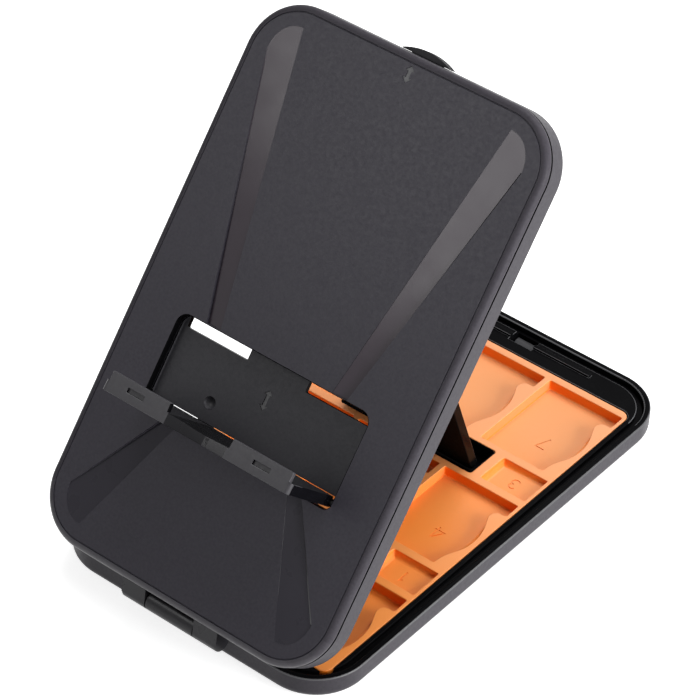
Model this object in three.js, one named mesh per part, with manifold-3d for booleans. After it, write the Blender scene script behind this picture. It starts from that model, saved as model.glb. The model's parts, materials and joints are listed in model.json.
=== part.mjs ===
// Game card storage stand: a hinged case whose lid stands open on a prop and carries a fold-out ledge.
// Millimetres, +Z up, X along the hinge. The origin is on the table, under the middle of the whole stand.
import * as THREE from 'three';
import { mergeVertices } from 'three/addons/utils/BufferGeometryUtils.js';
import Module from 'manifold-3d';

// Case
const caseWidth = 100;
const caseLength = 161.9;
const cornerRadius = 16.5;
const wall = 2;
const baseHeight = 7.5;
const lidHeight = 9.25;
const floorThickness = 1.8;
const bottomFillet = 3;
const fit = 0.3;
const cornerSegments = 7;

// Feet
const footRadius = 4.5;
const footProud = 0.6;
const footRecess = 0.7;
const footInset = 15;
const footRound = 0.4;

// Bezel between the case wall and the tray; its widths run from the case's outer side
const bezelSide = 5.8;
const bezelNear = 7.8;
const bezelFar = 13.1;
const bezelTop = 6.85;
const grooveWidth = 1.8;
const grooveDepth = 1.2;
const lipHalfWidth = 25;
const lipThickness = 1.6;
const lipHeight = 0.8;
const lipSetback = 6.1;
const catchHalfWidth = 4;
const catchDepth = 2.6;
const catchHeight = 1;
const catchPocketFloor = 0.9;

// Card tray
const trayTop = 6.75;
const trayCornerRadius = 3;
const trayEndRim = 2.65;
const traySideRim = 1.2;
const rowCount = 3;
const rowGap = 16.85;
const cardRecessDepth = 3.4;
const middleHalfWidth = 14.8;
const divider = 2;
const padWidth = 3.9;
const padSetback = 5.8;
const scoopWall = 0.6;
const scoopPlace = 0.49;
const padNose = 3.1;
const padNoseRound = 2.1;
const smallRecessLength = 15.6;
const smallRecessWidth = 11.2;
const smallRecessDepth = 2;
const wellSideGap = 1.5;
const wellLength = 12.4;

// Hinge
const hingeSetback = 2.8;
const hingeRise = 1.5;
const barrelRadius = 3.1;
const baseKnuckleHalf = 8.4;
const lidKnuckleEnd = 17;
const webDrop = 2.4;
const webTouchAngle = 53;
const hingePinRadius = 1;
const openAngle = 51.65;

// Lid
const coverHeight = 2.55;
const bandInset = 1.8;
const bandSoftness = 0.25;
const faceGrooveWidth = 0.3;
const faceGrooveDepth = 0.35;
const flangeWidth = 3;
const flangeThickness = 1.5;
const wedgeDepth = 1;
const wedgeInner = 19.5;
const wedgeNeck = 5;
const wedgeWidth = 8;
const wedgeSide = 7;
const wedgeEnd = 6.5;
const wedgeCornerRun = 9;
const windowSide = 16.8;
const windowNear = 44;
const windowFarGap = 1.6;
const windowCorner = 3.3;
const windowNearCorner = 2;
const tabHalfChord = 8.3;
const tabProud = 1.8;
const tabHeight = 3;
const tabRise = 0.7;
const tabTongueHalf = 5;
const tabTongueCatch = 0.5;

// Recess panel behind the window
const panelDepth = 3.5;
const panelThickness = 1.5;
const panelWall = 1.5;
const notchClearance = 0.4;
const panelLipGap = 0.4;
const panelTabLength = 4.8;
const panelTabHalfWidth = 3;
const panelTabSetback = 5;

// Fold-out ledge
const ledgePivotOffset = 2.2;
const ledgePivotDepth = 1.4;
const ledgeReach = 24.2;
const ledgeTilt = 4.5;
const ledgeSideGap = 1;
const ledgeTop = 1.8;
const ledgeRoot = 1.3;
const ledgeCorner = 1.2;
const ledgeLipInner = 10.5;
const ledgeLipInset = 1.05;
const ledgeLipHeight = 2.75;
const ledgeLipThickness = 1.6;
const ledgeLipSlope = 0.3;
const ledgeSlotLength = 5.8;
const ledgeSlotHeight = 1.3;
const ledgeSlotDepth = 0.8;
const ledgeSlotShift = 1;
const ledgePinRadius = 0.6;
const ledgePinClearance = 0.25;
const ledgePinLength = 7;
const pinBossWidth = 4.3;
const pinBossLength = 5;
const pinBossDrop = 2.2;

// Prop
const propPivotAlong = 112.6;
const propPivotRise = 0.5;
const propHalfWidth = 22.7;
const propThickness = 3;
const propBarrelRadius = 2.2;
const propPinRadius = 1;
const propFootOffset = -0.7;
const propFootTaper = 6.5;
const propFootCorner = 5;
const propWaistGap = 0.7;
const propWaistMargin = 2;
const propSideGap = 0.5;
const earThickness = 2.8;
const earRadius = 2.4;
const crossBandHalf = 8;

// Screws
const screwRadius = 0.8;
const screwHeadRadius = 1.7;
const screwHeadHeight = 1.1;
const screwBite = 1.3;
const coverScrewInset = 6.5;
const coverScrewEnd = 30;
const coverScrewPad = 4;

// Levels and places that follow from the sizes above
const lidTop = baseHeight + lidHeight;
const coverBottom = lidTop - coverHeight + fit;
const frameTop = lidTop - coverHeight;
const seatLevel = floorThickness + fit;
const hingeY = -hingeSetback;
const hingeZ = baseHeight + hingeRise;
const boreRadius = hingePinRadius + fit;
const webTouch = THREE.MathUtils.degToRad(webTouchAngle);
const webTouchY = hingeY - barrelRadius * Math.cos(webTouch);
const webTouchRise = barrelRadius * Math.sin(webTouch);
const trayHalfWidth = caseWidth / 2 - bezelSide;
const trayNear = bezelNear;
const trayFar = caseLength - bezelFar;
const rowSpan = trayFar - trayNear - 2 * trayEndRim;
const cardRecessLength = (rowSpan - (rowCount - 1) * rowGap) / rowCount;
const rowPitch = cardRecessLength + rowGap;
const wellHalfWidth = propHalfWidth + wellSideGap;
const sideInner = middleHalfWidth + divider;
const sideOuter = trayHalfWidth - traySideRim;
const rowNear = (row) => trayNear + trayEndRim + row * rowPitch;
const smallRowMiddle = (row) => rowNear(row) + (rowPitch + cardRecessLength) / 2;
const wellMiddle = smallRowMiddle(1);
const windowHalfWidth = caseWidth / 2 - windowSide;
const panelFloor = lidTop - panelDepth;
const ledgeY = windowNear + ledgePivotOffset;
const ledgeZ = lidTop - ledgePivotDepth;
const ledgeHalfWidth = windowHalfWidth - ledgeSideGap;
const ledgeLipOuter = ledgeHalfWidth - ledgeLipInset;
const ledgeFar = ledgeY + ledgeReach;
const ledgePinBore = ledgePinRadius + ledgePinClearance;
const windowFar = ledgeFar + windowFarGap;
const panelNear = ledgeY + pinBossLength / 2 + 2 * fit;
const propWaistHalf = ledgeLipInner - propWaistGap;
const propY = hingeY + propPivotAlong;
const propZ = hingeZ + propPivotRise;
const open = THREE.MathUtils.degToRad(openAngle);
const propWorldY = hingeY + propPivotAlong * Math.cos(open) - propPivotRise * Math.sin(open);
const propWorldZ = hingeZ + propPivotAlong * Math.sin(open) + propPivotRise * Math.cos(open);
const footSpanY = wellMiddle + propFootOffset - propWorldY;
const footSpanZ = propWorldZ - seatLevel;
const propLean = Math.atan2(footSpanY, footSpanZ);
const propLength = Math.hypot(footSpanY, footSpanZ);
const earInner = propHalfWidth + propSideGap;

// Section of the cover's soft band, from its foot up to the face: inset from the case's side, and height
const bandSteps = 5;
const bandProfile = [[0, coverBottom]];
for (let k = 0; k <= bandSteps; k += 1) {
  const angle = k / bandSteps * Math.PI / 2;
  const foot = coverBottom + bandSoftness * (lidTop - coverBottom);
  bandProfile.push([bandInset * (1 - Math.cos(angle)), foot + (lidTop - foot) * Math.sin(angle)]);
}
const swingBack = ([inset, z]) =>
  hingeY + (inset - hingeY) * Math.cos(open) - (z - hingeZ) * Math.sin(open);
const nearEnd = Math.min(hingeY - barrelRadius, ...bandProfile.map(swingBack));

const wasm = await Module();
wasm.setup();

// Materials, one per finish; each mesh gets its own copy
const finish = (color, roughness, metalness = 0) => ({ color, roughness, metalness });
const shellFinish = finish(0x48464b, 0.6);
const frameFinish = finish(0x6a666d, 0.55);
const glossFinish = finish(0x0c0c0e, 0.2);
const trayFinish = finish(0xf59a5a, 0.6);
const ledgeFinish = finish(0x3a393d, 0.45);
const steelFinish = finish(0x9a9ca0, 0.35, 0.9);
const rubberFinish = finish(0x1b1b1c, 0.9);
const catchFinish = finish(0x55565a, 0.5);

// Closed geometry to a solid, and a solid back to a named mesh
function solid(geometry) {
  geometry.deleteAttribute('normal');
  geometry.deleteAttribute('uv');
  const merged = mergeVertices(geometry, 1e-5);
  const vertProperties = new Float32Array(merged.attributes.position.array);
  const triVerts = new Uint32Array(merged.index.array);
  return new wasm.Manifold(new wasm.Mesh({ numProp: 3, vertProperties, triVerts }));
}

function piece(name, shape, look) {
  const data = shape.getMesh();
  const geometry = new THREE.BufferGeometry();
  geometry.setAttribute('position', new THREE.BufferAttribute(new Float32Array(data.vertProperties), 3));
  geometry.setIndex(new THREE.BufferAttribute(new Uint32Array(data.triVerts), 1));
  geometry.computeVertexNormals();
  const mesh = new THREE.Mesh(geometry, new THREE.MeshStandardMaterial(look));
  mesh.name = name;
  return mesh;
}

// Counter-clockwise loop of a rectangle with round corners
function roundLoop(x0, x1, y0, y1, radius, segments = cornerSegments) {
  const corners = [[x1 - radius, y1 - radius, 0], [x0 + radius, y1 - radius, 1],
    [x0 + radius, y0 + radius, 2], [x1 - radius, y0 + radius, 3]];
  const loop = [];
  for (const [cx, cy, quarter] of corners) {
    for (let k = 0; k <= segments; k += 1) {
      const angle = (quarter + k / segments) * Math.PI / 2;
      loop.push(new THREE.Vector2(cx + radius * Math.cos(angle), cy + radius * Math.sin(angle)));
    }
  }
  return loop;
}

function caseLoop(inset) {
  const half = caseWidth / 2 - inset;
  return roundLoop(-half, half, inset, caseLength - inset, cornerRadius - inset);
}

function prism(loop, z0, z1) {
  const shape = loop instanceof THREE.Shape ? loop : new THREE.Shape(loop);
  const settings = { depth: z1 - z0, bevelEnabled: false, curveSegments: 6 };
  const geometry = new THREE.ExtrudeGeometry(shape, settings);
  return solid(geometry.translate(0, 0, z0));
}

// Skin over a stack of loops with equal point counts, closed at both ends
function loft(sections) {
  const count = sections[0].loop.length;
  const positions = sections.flatMap(({ loop, z }) => loop.flatMap((p) => [p.x, p.y, z]));
  const index = [];
  for (let level = 0; level + 1 < sections.length; level += 1) {
    for (let k = 0; k < count; k += 1) {
      const a = level * count + k;
      const b = level * count + (k + 1) % count;
      index.push(a, b, b + count, a, b + count, a + count);
    }
  }
  const top = (sections.length - 1) * count;
  for (const [a, b, c] of THREE.ShapeUtils.triangulateShape(sections[0].loop, [])) {
    index.push(a, c, b, top + a, top + b, top + c);
  }
  const geometry = new THREE.BufferGeometry();
  geometry.setAttribute('position', new THREE.Float32BufferAttribute(positions, 3));
  geometry.setIndex(index);
  return solid(geometry);
}

function block(x0, x1, y0, y1, z0, z1) {
  const geometry = new THREE.BoxGeometry(x1 - x0, y1 - y0, z1 - z0);
  return solid(geometry.translate((x0 + x1) / 2, (y0 + y1) / 2, (z0 + z1) / 2));
}

function rodX(x0, x1, y, z, radius, sides = 20) {
  const geometry = new THREE.CylinderGeometry(radius, radius, x1 - x0, sides);
  return solid(geometry.rotateZ(Math.PI / 2).translate((x0 + x1) / 2, y, z));
}

function rodZ(x, y, z0, z1, radius, sides = 20) {
  const geometry = new THREE.CylinderGeometry(radius, radius, z1 - z0, sides);
  return solid(geometry.rotateX(Math.PI / 2).translate(x, y, (z0 + z1) / 2));
}

// Side profile in Y and Z, run along X
const alongX = new THREE.Matrix4().set(0, 0, 1, 0, 1, 0, 0, 0, 0, 1, 0, 0, 0, 0, 0, 1);
function profileX(points, x0, x1) {
  const shape = new THREE.Shape(points.map(([y, z]) => new THREE.Vector2(y, z)));
  const geometry = new THREE.ExtrudeGeometry(shape, { depth: x1 - x0, bevelEnabled: false });
  return solid(geometry.translate(0, 0, x0).applyMatrix4(alongX));
}

// Front outline in X and Z, run along Y
const alongY = new THREE.Matrix4().set(1, 0, 0, 0, 0, 0, -1, 0, 0, 1, 0, 0, 0, 0, 0, 1);
function profileY(loop, y0, y1) {
  const shape = loop instanceof THREE.Shape ? loop : new THREE.Shape(loop);
  const geometry = new THREE.ExtrudeGeometry(shape, { depth: y1 - y0, bevelEnabled: false });
  return solid(geometry.translate(0, 0, -y1).applyMatrix4(alongY));
}

const bothSides = [-1, 1];
const span = (side, a, b) => (side > 0 ? [a, b] : [-b, -a]);

// Base shell: tub with a soft bottom edge, foot recesses and the middle hinge knuckle
function baseShell() {
  const steps = 4;
  const sections = [];
  for (let k = 0; k <= steps; k += 1) {
    const angle = k / steps * Math.PI / 2;
    sections.push({
      loop: caseLoop(bottomFillet * (1 - Math.sin(angle))),
      z: bottomFillet * (1 - Math.cos(angle)),
    });
  }
  sections.push({ loop: caseLoop(0), z: baseHeight });
  let shape = loft(sections);
  for (const side of bothSides) {
    const [x0, x1] = span(side, baseKnuckleHalf, lidKnuckleEnd + fit);
    shape = shape.subtract(rodX(x0, x1, hingeY, hingeZ, barrelRadius + fit));
  }
  const webBottom = hingeZ - barrelRadius - webDrop;
  const web = profileX([[webTouchY, hingeZ - webTouchRise], [0, webBottom], [wall / 2, webBottom],
    [wall / 2, baseHeight], [0, baseHeight], [hingeY, hingeZ]], -baseKnuckleHalf, baseKnuckleHalf);
  shape = shape.add(web).add(rodX(-baseKnuckleHalf, baseKnuckleHalf, hingeY, hingeZ, barrelRadius));
  shape = shape.subtract(prism(caseLoop(wall), floorThickness, baseHeight + barrelRadius));
  shape = shape.subtract(rodX(-baseKnuckleHalf - 1, baseKnuckleHalf + 1, hingeY, hingeZ, boreRadius));
  for (const [x, y] of footPlaces()) {
    shape = shape.subtract(rodZ(x, y, -1, footRecess, footRadius + fit));
  }
  return shape;
}

function footPlaces() {
  const x = caseWidth / 2 - footInset;
  return bothSides.flatMap((side) => [[side * x, footInset], [side * x, caseLength - footInset]]);
}

function rubberFoot(x, y) {
  const profile = [[0, -footProud], [footRadius - footRound, -footProud],
    [footRadius, footRound - footProud], [footRadius, footRecess - fit], [0, footRecess - fit]];
  const points = profile.map(([r, z]) => new THREE.Vector2(r, z));
  const geometry = new THREE.LatheGeometry(points, 24).rotateX(Math.PI / 2);
  return solid(geometry.translate(x, y, 0));
}

// Bezel: black surround with a groove for the lid's rim, a raised lip and the latch pocket
function baseBezel() {
  const outer = wall + fit;
  let shape = prism(caseLoop(outer), seatLevel, bezelTop);
  const grooveOuter = prism(caseLoop(outer - 1), bezelTop - grooveDepth, bezelTop + 1);
  shape = shape.subtract(grooveOuter.subtract(prism(caseLoop(outer + grooveWidth), 0, bezelTop + 2)));
  const lipFar = caseLength - lipSetback;
  shape = shape.add(block(-lipHalfWidth, lipHalfWidth, lipFar - lipThickness, lipFar,
    bezelTop - grooveDepth, bezelTop + lipHeight));
  const opening = roundLoop(-trayHalfWidth - fit, trayHalfWidth + fit, trayNear - fit, trayFar + fit,
    trayCornerRadius + fit, 4);
  shape = shape.subtract(prism(opening, 0, bezelTop + 1));
  return shape.subtract(block(-catchHalfWidth - fit, catchHalfWidth + fit, lipFar - lipThickness - 1,
    lipFar + catchDepth + fit, seatLevel + catchPocketFloor, bezelTop + lipHeight + 1));
}

function latchCatch() {
  const far = caseLength - lipSetback + catchDepth;
  const bottom = seatLevel + catchPocketFloor + fit;
  const top = bottom + catchHeight;
  const points = [[far - catchDepth, bottom], [far, bottom], [far, top], [far - catchDepth / 2, top],
    [far - catchDepth, top - catchHeight / 2]];
  return profileX(points, -catchHalfWidth, catchHalfWidth);
}

// One card recess to cut, with the raised pads that hold the card's sides left standing
function cardRecess(x0, x1, near, padSides) {
  const far = near + cardRecessLength;
  const floor = trayTop - cardRecessDepth;
  let cut = block(x0, x1, near, far, floor, trayTop + 1);
  for (const side of padSides) {
    const edge = side > 0 ? x1 : x0;
    const at = (inward, along) => [edge - side * inward, near + along];
    const length = cardRecessLength - padSetback;
    const shape = new THREE.Shape();
    shape.moveTo(...at(-1, -1));
    shape.lineTo(...at(padWidth, -1));
    shape.lineTo(...at(padWidth, 0));
    const deepest = length * scoopPlace;
    const nose = length - padNose;
    const rise = (nose - deepest) / 2;
    shape.bezierCurveTo(...at(padWidth, deepest / 2), ...at(scoopWall, deepest / 2),
      ...at(scoopWall, deepest));
    shape.bezierCurveTo(...at(scoopWall, deepest + rise),
      ...at(padWidth - padNoseRound / 2, nose - rise / 2), ...at(padWidth, nose));
    shape.quadraticCurveTo(...at(padWidth, length), ...at(padWidth - padNoseRound, length));
    shape.lineTo(...at(-1, length));
    cut = cut.subtract(prism(shape, floor - 1, trayTop + 2));
  }
  return cut;
}

// Tray: three by three card recesses, small card recesses between the rows and the prop's well
function cardTray() {
  const loop = roundLoop(-trayHalfWidth, trayHalfWidth, trayNear, trayFar, trayCornerRadius, 4);
  let shape = prism(loop, seatLevel, trayTop);
  for (let row = 0; row < rowCount; row += 1) {
    shape = shape.subtract(cardRecess(-middleHalfWidth, middleHalfWidth, rowNear(row), bothSides));
    for (const side of bothSides) {
      const [x0, x1] = span(side, sideInner, sideOuter);
      shape = shape.subtract(cardRecess(x0, x1, rowNear(row), [side]));
    }
  }
  for (let row = 0; row + 1 < rowCount; row += 1) {
    const near = smallRowMiddle(row) - smallRecessWidth / 2;
    for (const side of bothSides) {
      const [x0, x1] = span(side, sideOuter - smallRecessLength, sideOuter);
      shape = shape.subtract(block(x0, x1, near, near + smallRecessWidth,
        trayTop - smallRecessDepth, trayTop + 1));
    }
  }
  return shape.subtract(block(-wellHalfWidth, wellHalfWidth, wellMiddle - wellLength / 2,
    wellMiddle + wellLength / 2, 0, trayTop + 1));
}

// Lid frame: wall ring with a seat flange, the outer knuckles and the band that carries the prop's ears
function lidFrame() {
  const flangeBottom = frameTop - flangeThickness;
  let shape = prism(caseLoop(0), baseHeight, frameTop);
  shape = shape.subtract(prism(caseLoop(wall), baseHeight - 1, flangeBottom));
  shape = shape.subtract(prism(caseLoop(wall + flangeWidth), baseHeight - 1, frameTop + 1));
  const relief = baseKnuckleHalf + fit;
  shape = shape.subtract(rodX(-relief, relief, hingeY, hingeZ, barrelRadius + fit));
  const webTop = hingeZ + barrelRadius + webDrop - fit;
  for (const side of bothSides) {
    const [x0, x1] = span(side, baseKnuckleHalf + fit, lidKnuckleEnd);
    shape = shape.add(profileX([[hingeY, hingeZ], [0, baseHeight], [wall / 2, baseHeight],
      [wall / 2, webTop], [0, webTop], [webTouchY, hingeZ + webTouchRise]], x0, x1));
    shape = shape.add(rodX(x0, x1, hingeY, hingeZ, barrelRadius));
  }
  shape = shape.subtract(rodX(-lidKnuckleEnd - 1, lidKnuckleEnd + 1, hingeY, hingeZ, boreRadius));
  const bandEnd = caseWidth / 2 - wall - flangeWidth / 2;
  shape = shape.add(block(-bandEnd, bandEnd, propY - crossBandHalf, propY + crossBandHalf,
    flangeBottom, frameTop));
  for (const side of bothSides) {
    const [x0, x1] = span(side, earInner, earInner + earThickness);
    const root = 2 * earRadius;
    const ear = [[propY - root, flangeBottom], [propY - earRadius, propZ], [propY + earRadius, propZ],
      [propY + root, flangeBottom], [propY + root, frameTop], [propY - root, frameTop]];
    shape = shape.add(profileX(ear, x0, x1)).add(rodX(x0, x1, propY, propZ, earRadius));
    shape = shape.subtract(rodX(x0 - propSideGap, x1 + 1, propY, propZ, propPinRadius + fit));
  }
  for (const [x, y] of coverScrewPlaces()) {
    const [x0, x1] = span(Math.sign(x), Math.abs(x) - coverScrewPad, caseWidth / 2 - wall / 2);
    shape = shape.add(block(x0, x1, y - coverScrewPad, y + coverScrewPad, flangeBottom, frameTop));
    shape = shape.subtract(rodZ(x, y, flangeBottom - 1, frameTop + 1, screwRadius + fit, 14));
  }
  const tabBottom = baseHeight + tabRise + fit;
  const slotHalf = tabTongueHalf + fit;
  return shape.subtract(block(-slotHalf, slotHalf, caseLength - wall - 1, caseLength + 1,
    tabBottom, tabBottom + tabHeight - 2 * fit));
}

function coverScrewPlaces() {
  const x = caseWidth / 2 - coverScrewInset;
  return bothSides.flatMap((side) => [[side * x, coverScrewEnd], [side * x, caseLength - coverScrewEnd]]);
}

function panelScrewPlaces() {
  const x = windowHalfWidth + panelWall + panelTabLength / 2;
  return bothSides.flatMap((side) => [[side * x, panelNear + panelTabSetback],
    [side * x, windowFar - panelTabSetback]]);
}

// Shallow ramp cut in the face, flush at its round outer end and deepest beside the window
function wedge(side, yFlush, yDeep) {
  const inward = Math.sign(yDeep - yFlush);
  const outer = caseWidth / 2 - wedgeSide;
  const shape = new THREE.Shape();
  shape.moveTo(side * wedgeInner, yDeep);
  shape.lineTo(side * (wedgeInner + wedgeNeck), yDeep);
  shape.lineTo(side * outer, yFlush + inward * wedgeCornerRun);
  const turn = yFlush + inward * wedgeCornerRun / 3;
  shape.quadraticCurveTo(side * outer, turn, side * (outer - wedgeWidth), yFlush);
  const loop = shape.getPoints(6);
  if (THREE.ShapeUtils.isClockWise(loop)) loop.reverse();
  const above = lidTop + 1;
  const ramp = profileX([[yFlush, lidTop], [yDeep, lidTop - wedgeDepth], [yDeep, above], [yFlush, above]],
    -caseWidth / 2, caseWidth / 2);
  return prism(loop, lidTop - 2 * wedgeDepth, above).intersect(ramp);
}

// Lid cover: soft outer band, face with four ramps, the window and the ledge's pin bosses
function lidCover() {
  const rise = coverHeight - fit;
  let shape = loft(bandProfile.map(([inset, z]) => ({ loop: caseLoop(inset), z })));
  const ring = prism(caseLoop(bandInset + fit), lidTop - faceGrooveDepth, lidTop + 1);
  shape = shape.subtract(ring.subtract(prism(caseLoop(bandInset + fit + faceGrooveWidth), 0, lidTop + 2)));
  for (const side of bothSides) {
    shape = shape.subtract(wedge(side, caseLength - wedgeEnd, windowFar));
    shape = shape.subtract(wedge(side, wedgeEnd, windowNear));
    const [x0, x1] = span(side, windowHalfWidth, windowHalfWidth + pinBossWidth);
    shape = shape.add(block(x0, x1, ledgeY - pinBossLength / 2, ledgeY + pinBossLength / 2,
      coverBottom - pinBossDrop, coverBottom + rise / 2));
  }
  const windowLoop = roundLoop(-windowHalfWidth, windowHalfWidth, windowNear, windowFar, windowCorner, 5);
  const nearLoop = roundLoop(-windowHalfWidth, windowHalfWidth, windowNear, ledgeY + pinBossLength,
    windowNearCorner, 3);
  shape = shape.subtract(prism(windowLoop, 0, lidTop + 1)).subtract(prism(nearLoop, 0, lidTop + 1));
  for (const side of bothSides) {
    const [x0, x1] = ledgePinSpan(side);
    shape = shape.subtract(rodX(x0 - fit, x1 + fit, ledgeY, ledgeZ, ledgePinBore, 14));
  }
  for (const [x, y] of [...coverScrewPlaces(), ...panelScrewPlaces()]) {
    shape = shape.subtract(rodZ(x, y, coverBottom - 1, coverBottom + screwBite, screwRadius + fit, 14));
  }
  return shape;
}

function ledgePinSpan(side) {
  const end = windowHalfWidth + pinBossWidth - 2 * fit;
  return span(side, end - ledgePinLength, end);
}

// Recess panel: floor behind the window with two notches for the ledge's lips, walls and screw tabs
function recessPanel() {
  const bottom = panelFloor - panelThickness;
  const half = windowHalfWidth + panelWall;
  const far = windowFar + panelWall;
  let shape = block(-half, half, panelNear, far, bottom, frameTop);
  shape = shape.subtract(block(-windowHalfWidth, windowHalfWidth, panelNear - 1, windowFar,
    panelFloor, frameTop + 1));
  const lipHalf = windowHalfWidth - fit;
  shape = shape.add(block(-lipHalf, lipHalf, ledgeY + ledgeTop + panelLipGap, panelNear + panelWall,
    bottom, panelFloor));
  for (const side of bothSides) {
    const [x0, x1] = span(side, ledgeLipInner - notchClearance, ledgeLipOuter + notchClearance);
    const notchNear = ledgeFar - ledgeLipThickness - notchClearance;
    shape = shape.subtract(block(x0, x1, notchNear, windowFar, bottom - 1, panelFloor + 1));
  }
  for (const [x, y] of panelScrewPlaces()) {
    const [x0, x1] = span(Math.sign(x), half - panelWall / 2, half + panelTabLength);
    shape = shape.add(block(x0, x1, y - panelTabHalfWidth, y + panelTabHalfWidth,
      frameTop - flangeThickness, frameTop));
    shape = shape.subtract(rodZ(x, y, bottom, frameTop + 1, screwRadius + fit, 14));
  }
  return shape;
}

function screw(x, y) {
  const headTop = frameTop - flangeThickness - fit;
  const tip = coverBottom + screwBite - fit;
  const profile = [[0, headTop - screwHeadHeight], [screwHeadRadius, headTop - screwHeadHeight],
    [screwHeadRadius, headTop], [screwRadius, headTop], [screwRadius, tip], [0, tip]];
  const points = profile.map(([r, z]) => new THREE.Vector2(r, z));
  const geometry = new THREE.LatheGeometry(points, 14).rotateX(Math.PI / 2);
  return solid(geometry.translate(x, y, 0));
}

// Thumb tab: shallow arc on the free edge, held by a tongue through the frame's wall
function thumbTab() {
  const bottom = baseHeight + tabRise;
  const radius = (tabHalfChord ** 2 + tabProud ** 2) / (2 * tabProud);
  const reach = Math.asin(tabHalfChord / radius);
  const shape = new THREE.Shape();
  const quarter = Math.PI / 2;
  shape.absarc(0, caseLength + fit + tabProud - radius, radius, quarter - reach, quarter + reach, false);
  const outer = prism(shape.getPoints(14), bottom, bottom + tabHeight);
  const tongue = block(-tabTongueHalf, tabTongueHalf, caseLength - wall - tabTongueCatch,
    caseLength + 2 * fit, bottom + 2 * fit, bottom + tabHeight - 2 * fit);
  return outer.add(tongue);
}

// Ledge, about its pivot: the plate stands out along +Z, its top faces +Y, two lips turn up at the front
function consoleLedge() {
  const heel = 0.75 * ledgeRoot;
  let shape = profileX([[ledgeTop, 0], [ledgeTop, ledgeReach], [-ledgeRoot, ledgeReach], [-ledgeRoot, 0],
    [-heel, -heel], [0, -ledgeRoot], [heel, -heel]], -ledgeHalfWidth, ledgeHalfWidth);
  const lipTop = ledgeTop + ledgeLipHeight;
  for (const side of bothSides) {
    const loop = [[ledgeLipInner, ledgeTop / 2], [ledgeLipOuter, ledgeTop / 2], [ledgeLipOuter, lipTop],
      [ledgeLipInner + ledgeLipSlope, lipTop]];
    const outline = loop.map(([x, y]) => new THREE.Vector2(side * x, y));
    if (side < 0) outline.reverse();
    shape = shape.add(prism(outline, ledgeReach - ledgeLipThickness, ledgeReach));
    const middle = side * ((ledgeLipInner + ledgeLipOuter) / 2 + ledgeSlotShift);
    shape = shape.subtract(block(middle - ledgeSlotLength / 2, middle + ledgeSlotLength / 2,
      ledgeTop - ledgeSlotHeight / 2, ledgeTop + ledgeSlotHeight / 2,
      ledgeReach - ledgeSlotDepth, ledgeReach + 1));
  }
  const plan = roundLoop(-ledgeHalfWidth, ledgeHalfWidth, -ledgeReach, ledgeReach, ledgeCorner, 4);
  shape = shape.intersect(profileY(plan, -ledgeReach, ledgeReach));
  for (const side of bothSides) {
    const [x0, x1] = ledgePinSpan(side);
    shape = shape.subtract(rodX(x0 - fit, x1, 0, 0, ledgePinBore, 14));
  }
  return shape;
}

// Prop, about its pivot: the plate hangs along -Z and its back faces +Y
function propStrut() {
  const half = propThickness / 2;
  const slope = half * Math.tan(propLean);
  let shape = profileX([[half, 0], [-half, 0], [-half, propFootTaper - propLength], [0, -propLength],
    [half, slope - propLength]], -propHalfWidth, propHalfWidth);
  const outline = roundLoop(-propHalfWidth, propHalfWidth, -propLength, propLength, propFootCorner, 4);
  shape = shape.intersect(profileY(outline, -half - 1, half + 1));
  shape = shape.add(rodX(-propHalfWidth, propHalfWidth, 0, 0, propBarrelRadius));
  const lipsAt = propY - ledgeY - ledgeReach;
  for (const side of bothSides) {
    const [x0, x1] = span(side, propWaistHalf, propHalfWidth + 1);
    shape = shape.subtract(block(x0, x1, -half - 1, half + 1,
      -lipsAt - ledgeLipThickness - propWaistMargin, propWaistMargin - lipsAt));
    const [p0, p1] = propPinSpan(side);
    shape = shape.subtract(rodX(p0 - fit, p1 + fit, 0, 0, propPinRadius + fit, 16));
  }
  return shape;
}

function propPinSpan(side) {
  const end = earInner + earThickness - fit;
  return span(side, end - 2 * earThickness - propSideGap, end);
}

const sideName = (side) => (side < 0 ? 'left' : 'right');

// Assembly: the base stands still, the lid group turns at the hinge, ledge and prop turn in the lid
const stand = new THREE.Group();
const base = new THREE.Group();
base.position.set(0, -(caseLength + nearEnd) / 2, footProud);
stand.add(base);
base.add(piece('base_shell', baseShell(), shellFinish));
base.add(piece('base_bezel', baseBezel(), glossFinish));
base.add(piece('card_tray', cardTray(), trayFinish));
base.add(piece('latch_catch', latchCatch(), catchFinish));
const pinEnd = lidKnuckleEnd - fit;
base.add(piece('hinge_pin', rodX(-pinEnd, pinEnd, hingeY, hingeZ, hingePinRadius), steelFinish));
footPlaces().forEach(([x, y], k) => {
  base.add(piece(`rubber_foot_${k + 1}`, rubberFoot(x, y), rubberFinish));
});

const lidTurn = new THREE.Group();
lidTurn.position.set(0, hingeY, hingeZ);
lidTurn.rotation.x = open;
base.add(lidTurn);
const lid = new THREE.Group();
lid.position.set(0, -hingeY, -hingeZ);
lidTurn.add(lid);
lid.add(piece('lid_frame', lidFrame(), frameFinish));
lid.add(piece('lid_cover', lidCover(), shellFinish));
lid.add(piece('recess_panel', recessPanel(), glossFinish));
lid.add(piece('thumb_tab', thumbTab(), ledgeFinish));
coverScrewPlaces().forEach(([x, y], k) => {
  lid.add(piece(`cover_screw_${k + 1}`, screw(x, y), steelFinish));
});
panelScrewPlaces().forEach(([x, y], k) => {
  lid.add(piece(`panel_screw_${k + 1}`, screw(x, y), steelFinish));
});

const ledge = new THREE.Group();
ledge.position.set(0, ledgeY, ledgeZ);
ledge.rotation.x = -THREE.MathUtils.degToRad(ledgeTilt);
lid.add(ledge);
ledge.add(piece('console_ledge', consoleLedge(), ledgeFinish));

const prop = new THREE.Group();
prop.position.set(0, propY, propZ);
prop.rotation.x = propLean - open;
lid.add(prop);
prop.add(piece('prop_strut', propStrut(), glossFinish));

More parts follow.
